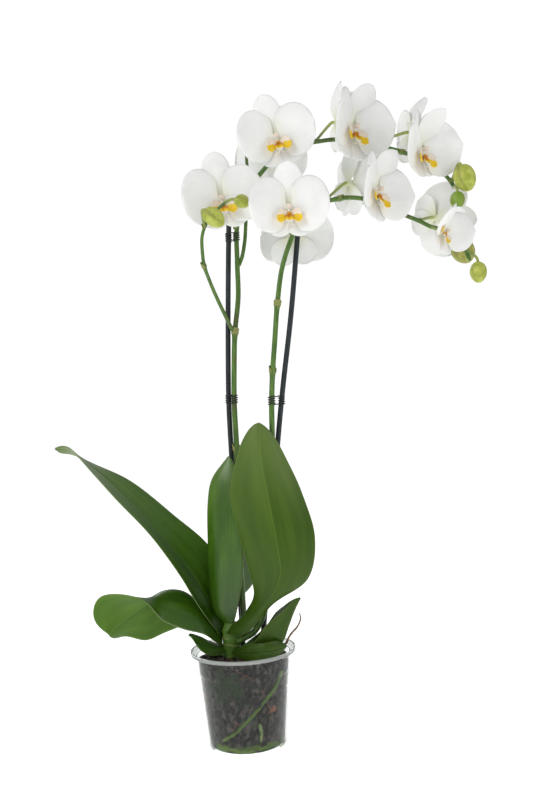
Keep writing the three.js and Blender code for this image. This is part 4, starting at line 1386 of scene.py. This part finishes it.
# Fresh buds are greener, and ripe ones browner
budPlaces = [
    {"name": "01", "base": (-15, -49, 600), "tip": (5, -56, 582), "width": 20, "stem": "left",
     "from": (-17, -37, 583)},
    {"name": "02", "base": (18, -41, 612), "tip": (35, -43, 606), "width": 15, "stem": "left",
     "from": (7, -40, 609)},
    {"name": "03", "base": (276, -6, 645), "tip": (283, -11, 614), "width": 25, "stem": "left",
     "from": (267, 10, 629)},
    {"name": "04", "base": (270, -8, 614), "tip": (268, -14, 595), "width": 17, "stem": "left",
     "from": (270, 8, 625), "fresh": 1},
    {"name": "05", "base": (270, 6, 562), "tip": (284, 10, 536), "width": 27, "stem": "right",
     "from": (258, -10, 566), "ripe": 0.8},
    {"name": "06", "base": (286, -22, 532), "tip": (285, -26, 508), "width": 19, "stem": "right",
     "from": (274, -18, 547)},
]

# The outline gives shares of the bud's length and of its half width
budForm = {
    "outline": [(0, 0.24), (0.05, 0.5), (0.2, 0.86), (0.42, 1), (0.65, 0.93), (0.84, 0.66), (0.96, 0.3),
                (1, 0.1)],
    "rows": 26, "sides": 36, "fineness": 200, "seams": 3, "seamDepth": 0.06, "seamed": (0.05, 0.97),
    "ripple": 0.02,
}


def budRadius(along):
    points = [Vector((width, spot, 0)) for spot, width in budForm["outline"]]
    fine = [curvePoint(points, k / budForm["fineness"]) for k in range(budForm["fineness"] + 1)]
    return min(fine, key=lambda point: abs(point.y - along)).x


def makeBud(bud, material):
    base, tip = Vector(bud["base"]), Vector(bud["tip"])
    length = (tip - base).length
    rows, seams = budForm["rows"], budForm["seams"]
    first, last = budForm["seamed"]
    widths = [0] + [budRadius(k / rows) for k in range(1, rows)] + [0]

    def place(u, v):
        turn = 2 * math.pi * u
        radius = bud["width"] / 2 * widths[round(v * rows)]
        if first < v < last:
            seam = budForm["seamDepth"] * max(0, math.cos(seams * turn)) ** 6
            radius *= 1 - seam + budForm["ripple"] * math.cos(2 * seams * turn)
        return around(turn, radius, v * length)

    piece = sheet(budForm["sides"], rows, place, lambda u, v: (bud.get("fresh", 0), bud.get("ripe", 0), 0))
    closeUp(piece)
    turnTo = Vector((0, 0, 1)).rotation_difference((tip - base).normalized())
    piece.data.transform(Matrix.Translation(base * mm) @ turnTo.to_matrix().to_4x4())
    shadeSmooth(piece)
    finishPiece(piece, "flower_bud_" + bud["name"], [material], ["bud_" + bud["name"]])


def budFinish():
    shader = Shader("bud_green", scatter=0.15, scatterRadius=(0.8, 1, 0.4), scatterScale=3 * mm, specular=0.4)
    fresh, ripe = shader.marks()[:2]
    across = shader.apart(shader.uvPlace())[0]
    mottle = shader.noise(shader.objectPlace(), 160.0, 3.0)
    streak = shader.streaks(30, 3)
    seamTurn = across * (2 * math.pi * budForm["seams"])
    seam = shader.node("Math", {"operation": "COSINE"}, {0: seamTurn}).high(0.7, 0.3)
    base = shader.mix(mottle.high(0.35, 0.3), colour(156, 168, 62), colour(188, 194, 92))
    bright = shader.mix(fresh * 0.7, base, colour(94, 140, 32))
    tanned = shader.mix(ripe * streak.high(0.3, 0.3), bright, colour(138, 128, 66))
    ridged = shader.mix(seam * 0.45, tanned, colour(124, 120, 58))
    return shader.set(base=ridged, roughness=0.45, normal=shader.bump(streak + mottle, 0.3, 0.4 * mm))


budMaterial = budFinish()
for bud in budPlaces:
    makeBud(bud, budMaterial)
print("stage: buds")


spike = {
    "base": 3.6, "tip": 2.2, "steps": 240, "sides": 22, "swelling": 0.22, "swellingLength": 5,
    "ringLength": 3,
}
sideShoot = {
    "base": 2.3, "tip": 1.7, "steps": 80, "sides": 16, "node": 0.52, "bractRadius": 2.76, "bractLength": 6,
}

# Nodes are places by their height, then by a share of the length past the last of these or from the foot
spikeNodes = {
    "left": {"heights": [334, 469.4, 670], "past": [0.17, 0.26], "shares": []},
    "right": {"heights": [421, 494.6], "past": [], "shares": [0.76, 0.85]},
}


def nodeHump(share, route, node, reach):
    return math.exp(-((share - node) * route.length / reach) ** 2)


def stemTube(route, form, nodes):
    def radiusAt(share, across):
        swell = sum(nodeHump(share, route, node, spike["swellingLength"]) for node in nodes)
        return between(form["base"], form["tip"], share) * (1 + spike["swelling"] * min(swell, 1))

    def marks(share, across):
        return (max(nodeHump(share, route, node, spike["ringLength"]) for node in nodes), 0, 0)

    return tube(route, radiusAt, form["steps"], form["sides"], marks)


bract = {
    "rows": 8, "columns": 12, "thickness": 0.4, "wrap": 2.3, "stand": 0.5, "flare": 0.7, "below": 0.15,
    "lengths": (10, 5), "firstTurn": 1.4, "turnStep": 2.6, "shootTurn": 2.0,
}


def makeBract(route, share, radius, length, turn):
    # a short pointed sheath that hugs the stem over a node
    rows = bract["rows"]
    rise = length / route.length
    rings = frames(route, [min(share + rise * (k / rows - bract["below"]), 1) for k in range(rows + 1)])

    def place(u, v):
        centre, side, up = rings[round(v * rows)]
        half = bract["wrap"] * math.sqrt(max(0, 1 - (v * 0.98) ** 1.7))
        angle = turn + half * (2 * u - 1)
        reach = radius + bract["stand"] + bract["flare"] * v * v
        return centre + side * (reach * math.cos(angle)) + up * (reach * math.sin(angle))

    piece = sheet(bract["columns"], rows, place, lambda u, v: (0.2, 1, 0))
    thicken(piece, bract["thickness"])
    return piece


# The bend is how far a pedicel comes from behind its bloom or bud, as a share of its length
pedicel = {
    "radius": 1.6, "steps": 22, "sides": 14, "points": 24, "leave": 0.3, "rise": 0.01, "gap": 0.3,
    "bractAt": 0.03, "bractGap": 0.3, "bractLength": 5, "bractTurn": 1.2,
    "bloom": {"end": 2.0, "bend": 0.05}, "bud": {"end": 1.7, "bend": 0.4},
}


def pedicelRoute(start, end, away, bend):
    reach = (end - start).length
    first = start.lerp(end, pedicel["leave"]) + Vector((0, 0, pedicel["rise"] * reach))
    second = end + away * (bend * reach)
    points = []
    for k in range(pedicel["points"] + 1):
        share = k / pedicel["points"]
        rest = 1 - share
        points.append(start * rest ** 3 + first * (3 * rest * rest * share)
                      + second * (3 * rest * share * share) + end * share ** 3)
    return Route(points, smooth=False)


def makePedicel(start, end, away, form):
    route = pedicelRoute(Vector(start), end, away, form["bend"])
    radius = pedicel["radius"]

    def radiusAt(share, across):
        return radius + (form["end"] - radius) * share ** 2

    def marks(share, across):
        return (0, 0, 0.3 + 0.7 * share)

    stalk = tube(route, radiusAt, pedicel["steps"], pedicel["sides"], marks, domed=False)
    sheath = makeBract(route, pedicel["bractAt"], radius + pedicel["bractGap"], pedicel["bractLength"],
                       pedicel["bractTurn"])
    return [stalk, sheath]


def pedicelsOf(stem):
    parts = []
    for bloom in bloomPlaces:
        if bloom["stem"] == stem:
            matrix = bloomMatrix(bloom)
            back = bloomForm["hubBack"] * bloom.get("scale", 1) + pedicel["gap"]
            end = matrix @ (Vector((0, back, 0)) * mm) / mm
            away = (matrix.to_3x3() @ Vector((0, 1, 0))).normalized()
            parts += makePedicel(bloom["from"], end, away, pedicel["bloom"])
    for bud in budPlaces:
        if bud["stem"] == stem:
            base = Vector(bud["base"])
            away = (base - Vector(bud["tip"])).normalized()
            parts += makePedicel(bud["from"], base + away * pedicel["gap"], away, pedicel["bud"])
    return parts


def makeSpike(stem, material):
    route, places = spikeRoutes[stem], spikeNodes[stem]
    nodes = [route.shareAtHeight(height) for height in places["heights"]]
    nodes += [nodes[-1] + share for share in places["past"]] + places["shares"]
    parts = [stemTube(route, spike, nodes)]
    longest, shortening = bract["lengths"]
    for k, node in enumerate(nodes):
        radius = between(spike["base"], spike["tip"], node) * (1 + spike["swelling"])
        turn = bract["firstTurn"] + bract["turnStep"] * k
        parts.append(makeBract(route, node, radius, longest - shortening * node, turn))
    for shoot in shootRoutes[stem]:
        node, radius, length = sideShoot["node"], sideShoot["bractRadius"], sideShoot["bractLength"]
        parts.append(stemTube(shoot, sideShoot, [node]))
        parts.append(makeBract(shoot, node, radius, length, bract["shootTurn"]))
    piece = joinAll(parts + pedicelsOf(stem))
    finishPiece(piece, "spike_" + stem, [material], ["flower_spike_" + stem])


def spikeFinish():
    shader = Shader("spike_green", scatter=0.05, scatterScale=2 * mm, specular=0.45)
    ring, papery, pale = shader.marks()
    place = shader.objectPlace()
    streak = shader.upright(place, 0.12, 420.0)
    flush = shader.noise(place, 22.0, 2.0)
    green = shader.mix(streak.high(0.3, 0.4), colour(62, 96, 34), colour(92, 128, 52))
    dusky = shader.mix(flush.high(0.52, 0.16) * 0.6, green, colour(84, 84, 48))
    fresh = shader.mix(pale * 0.9, dusky, colour(178, 188, 108))
    ringed = shader.mix(ring * 0.25, fresh, colour(150, 156, 84))
    dry = shader.mix(papery * 0.75, ringed, colour(146, 146, 84))
    return shader.set(base=dry, roughness=0.42, normal=shader.bump(streak, 0.25, 0.3 * mm))


spikeMaterial = spikeFinish()
for stem in ("left", "right"):
    makeSpike(stem, spikeMaterial)
print("stage: spikes")


# Each tie is a coil round the stake and one round the spike, with two straight wires between them
tie = {
    "wire": 0.6, "turns": 4, "pitch": 2.6, "steps": 26, "sides": 8, "clear": 0.3, "bridges": (-0.42, 0.42),
    "bridgeSteps": 10, "bow": 0.4,
}
tiePlaces = [
    {"name": "wire_tie_left_low", "hand": "left", "height": 393},
    {"name": "wire_tie_left_high", "hand": "left", "height": 581},
    {"name": "wire_tie_right", "hand": "right", "height": 389},
]


def coilPoints(centre, radius, start):
    count = tie["turns"] * tie["steps"]
    points = []
    for k in range(count + 1):
        turn = start + 2 * math.pi * k / tie["steps"]
        rise = tie["pitch"] * (k / tie["steps"] - tie["turns"] / 2)
        points.append(centre + around(turn, radius, rise))
    return points


def makeTie(place, material):
    height, wire = place["height"], tie["wire"]
    stakeRoute, spikeRoute = stakeRoutes[place["hand"]], spikeRoutes[place["hand"]]
    post = stakeRoute.fine[stakeRoute.nearest(height)].copy()
    stalk = spikeRoute.fine[spikeRoute.nearest(height)].copy()
    post.z = stalk.z = height
    heading = math.atan2(stalk.y - post.y, stalk.x - post.x)
    postReach = stake["radius"] + wire
    stalkReach = between(spike["base"], spike["tip"], spikeRoute.shareAtHeight(height)) + tie["clear"] + wire
    parts = []
    for centre, reach, start in ((post, postReach, heading), (stalk, stalkReach, heading + math.pi)):
        route = Route(coilPoints(centre, reach, start), smooth=False)
        parts.append(tube(route, lambda share, across: wire, tie["turns"] * tie["steps"], tie["sides"]))
    side = Vector((-math.sin(heading), math.cos(heading), 0))
    for lift in tie["bridges"]:
        rise = Vector((0, 0, tie["turns"] * tie["pitch"] * lift))
        middle = post.lerp(stalk, 0.5) - side * (postReach + tie["bow"])
        bridge = Route([post - side * postReach + rise, middle + rise, stalk - side * stalkReach + rise], 40)
        parts.append(tube(bridge, lambda share, across: wire, tie["bridgeSteps"], tie["sides"]))
    finishPiece(joinAll(parts), place["name"] + "_coil", [material], [place["name"]])


def wireFinish():
    shader = Shader("wire_black", specular=0.5)
    scuff = shader.noise(shader.objectPlace(), 500.0, 3.0)
    base = shader.mix(scuff.high(0.4, 0.3), colour(20, 22, 22), colour(44, 46, 46))
    return shader.set(base=base, roughness=0.4 + scuff * 0.2, normal=shader.bump(scuff, 0.2, 0.2 * mm))


wireMaterial = wireFinish()
for place in tiePlaces:
    makeTie(place, wireMaterial)
print("stage: ties")
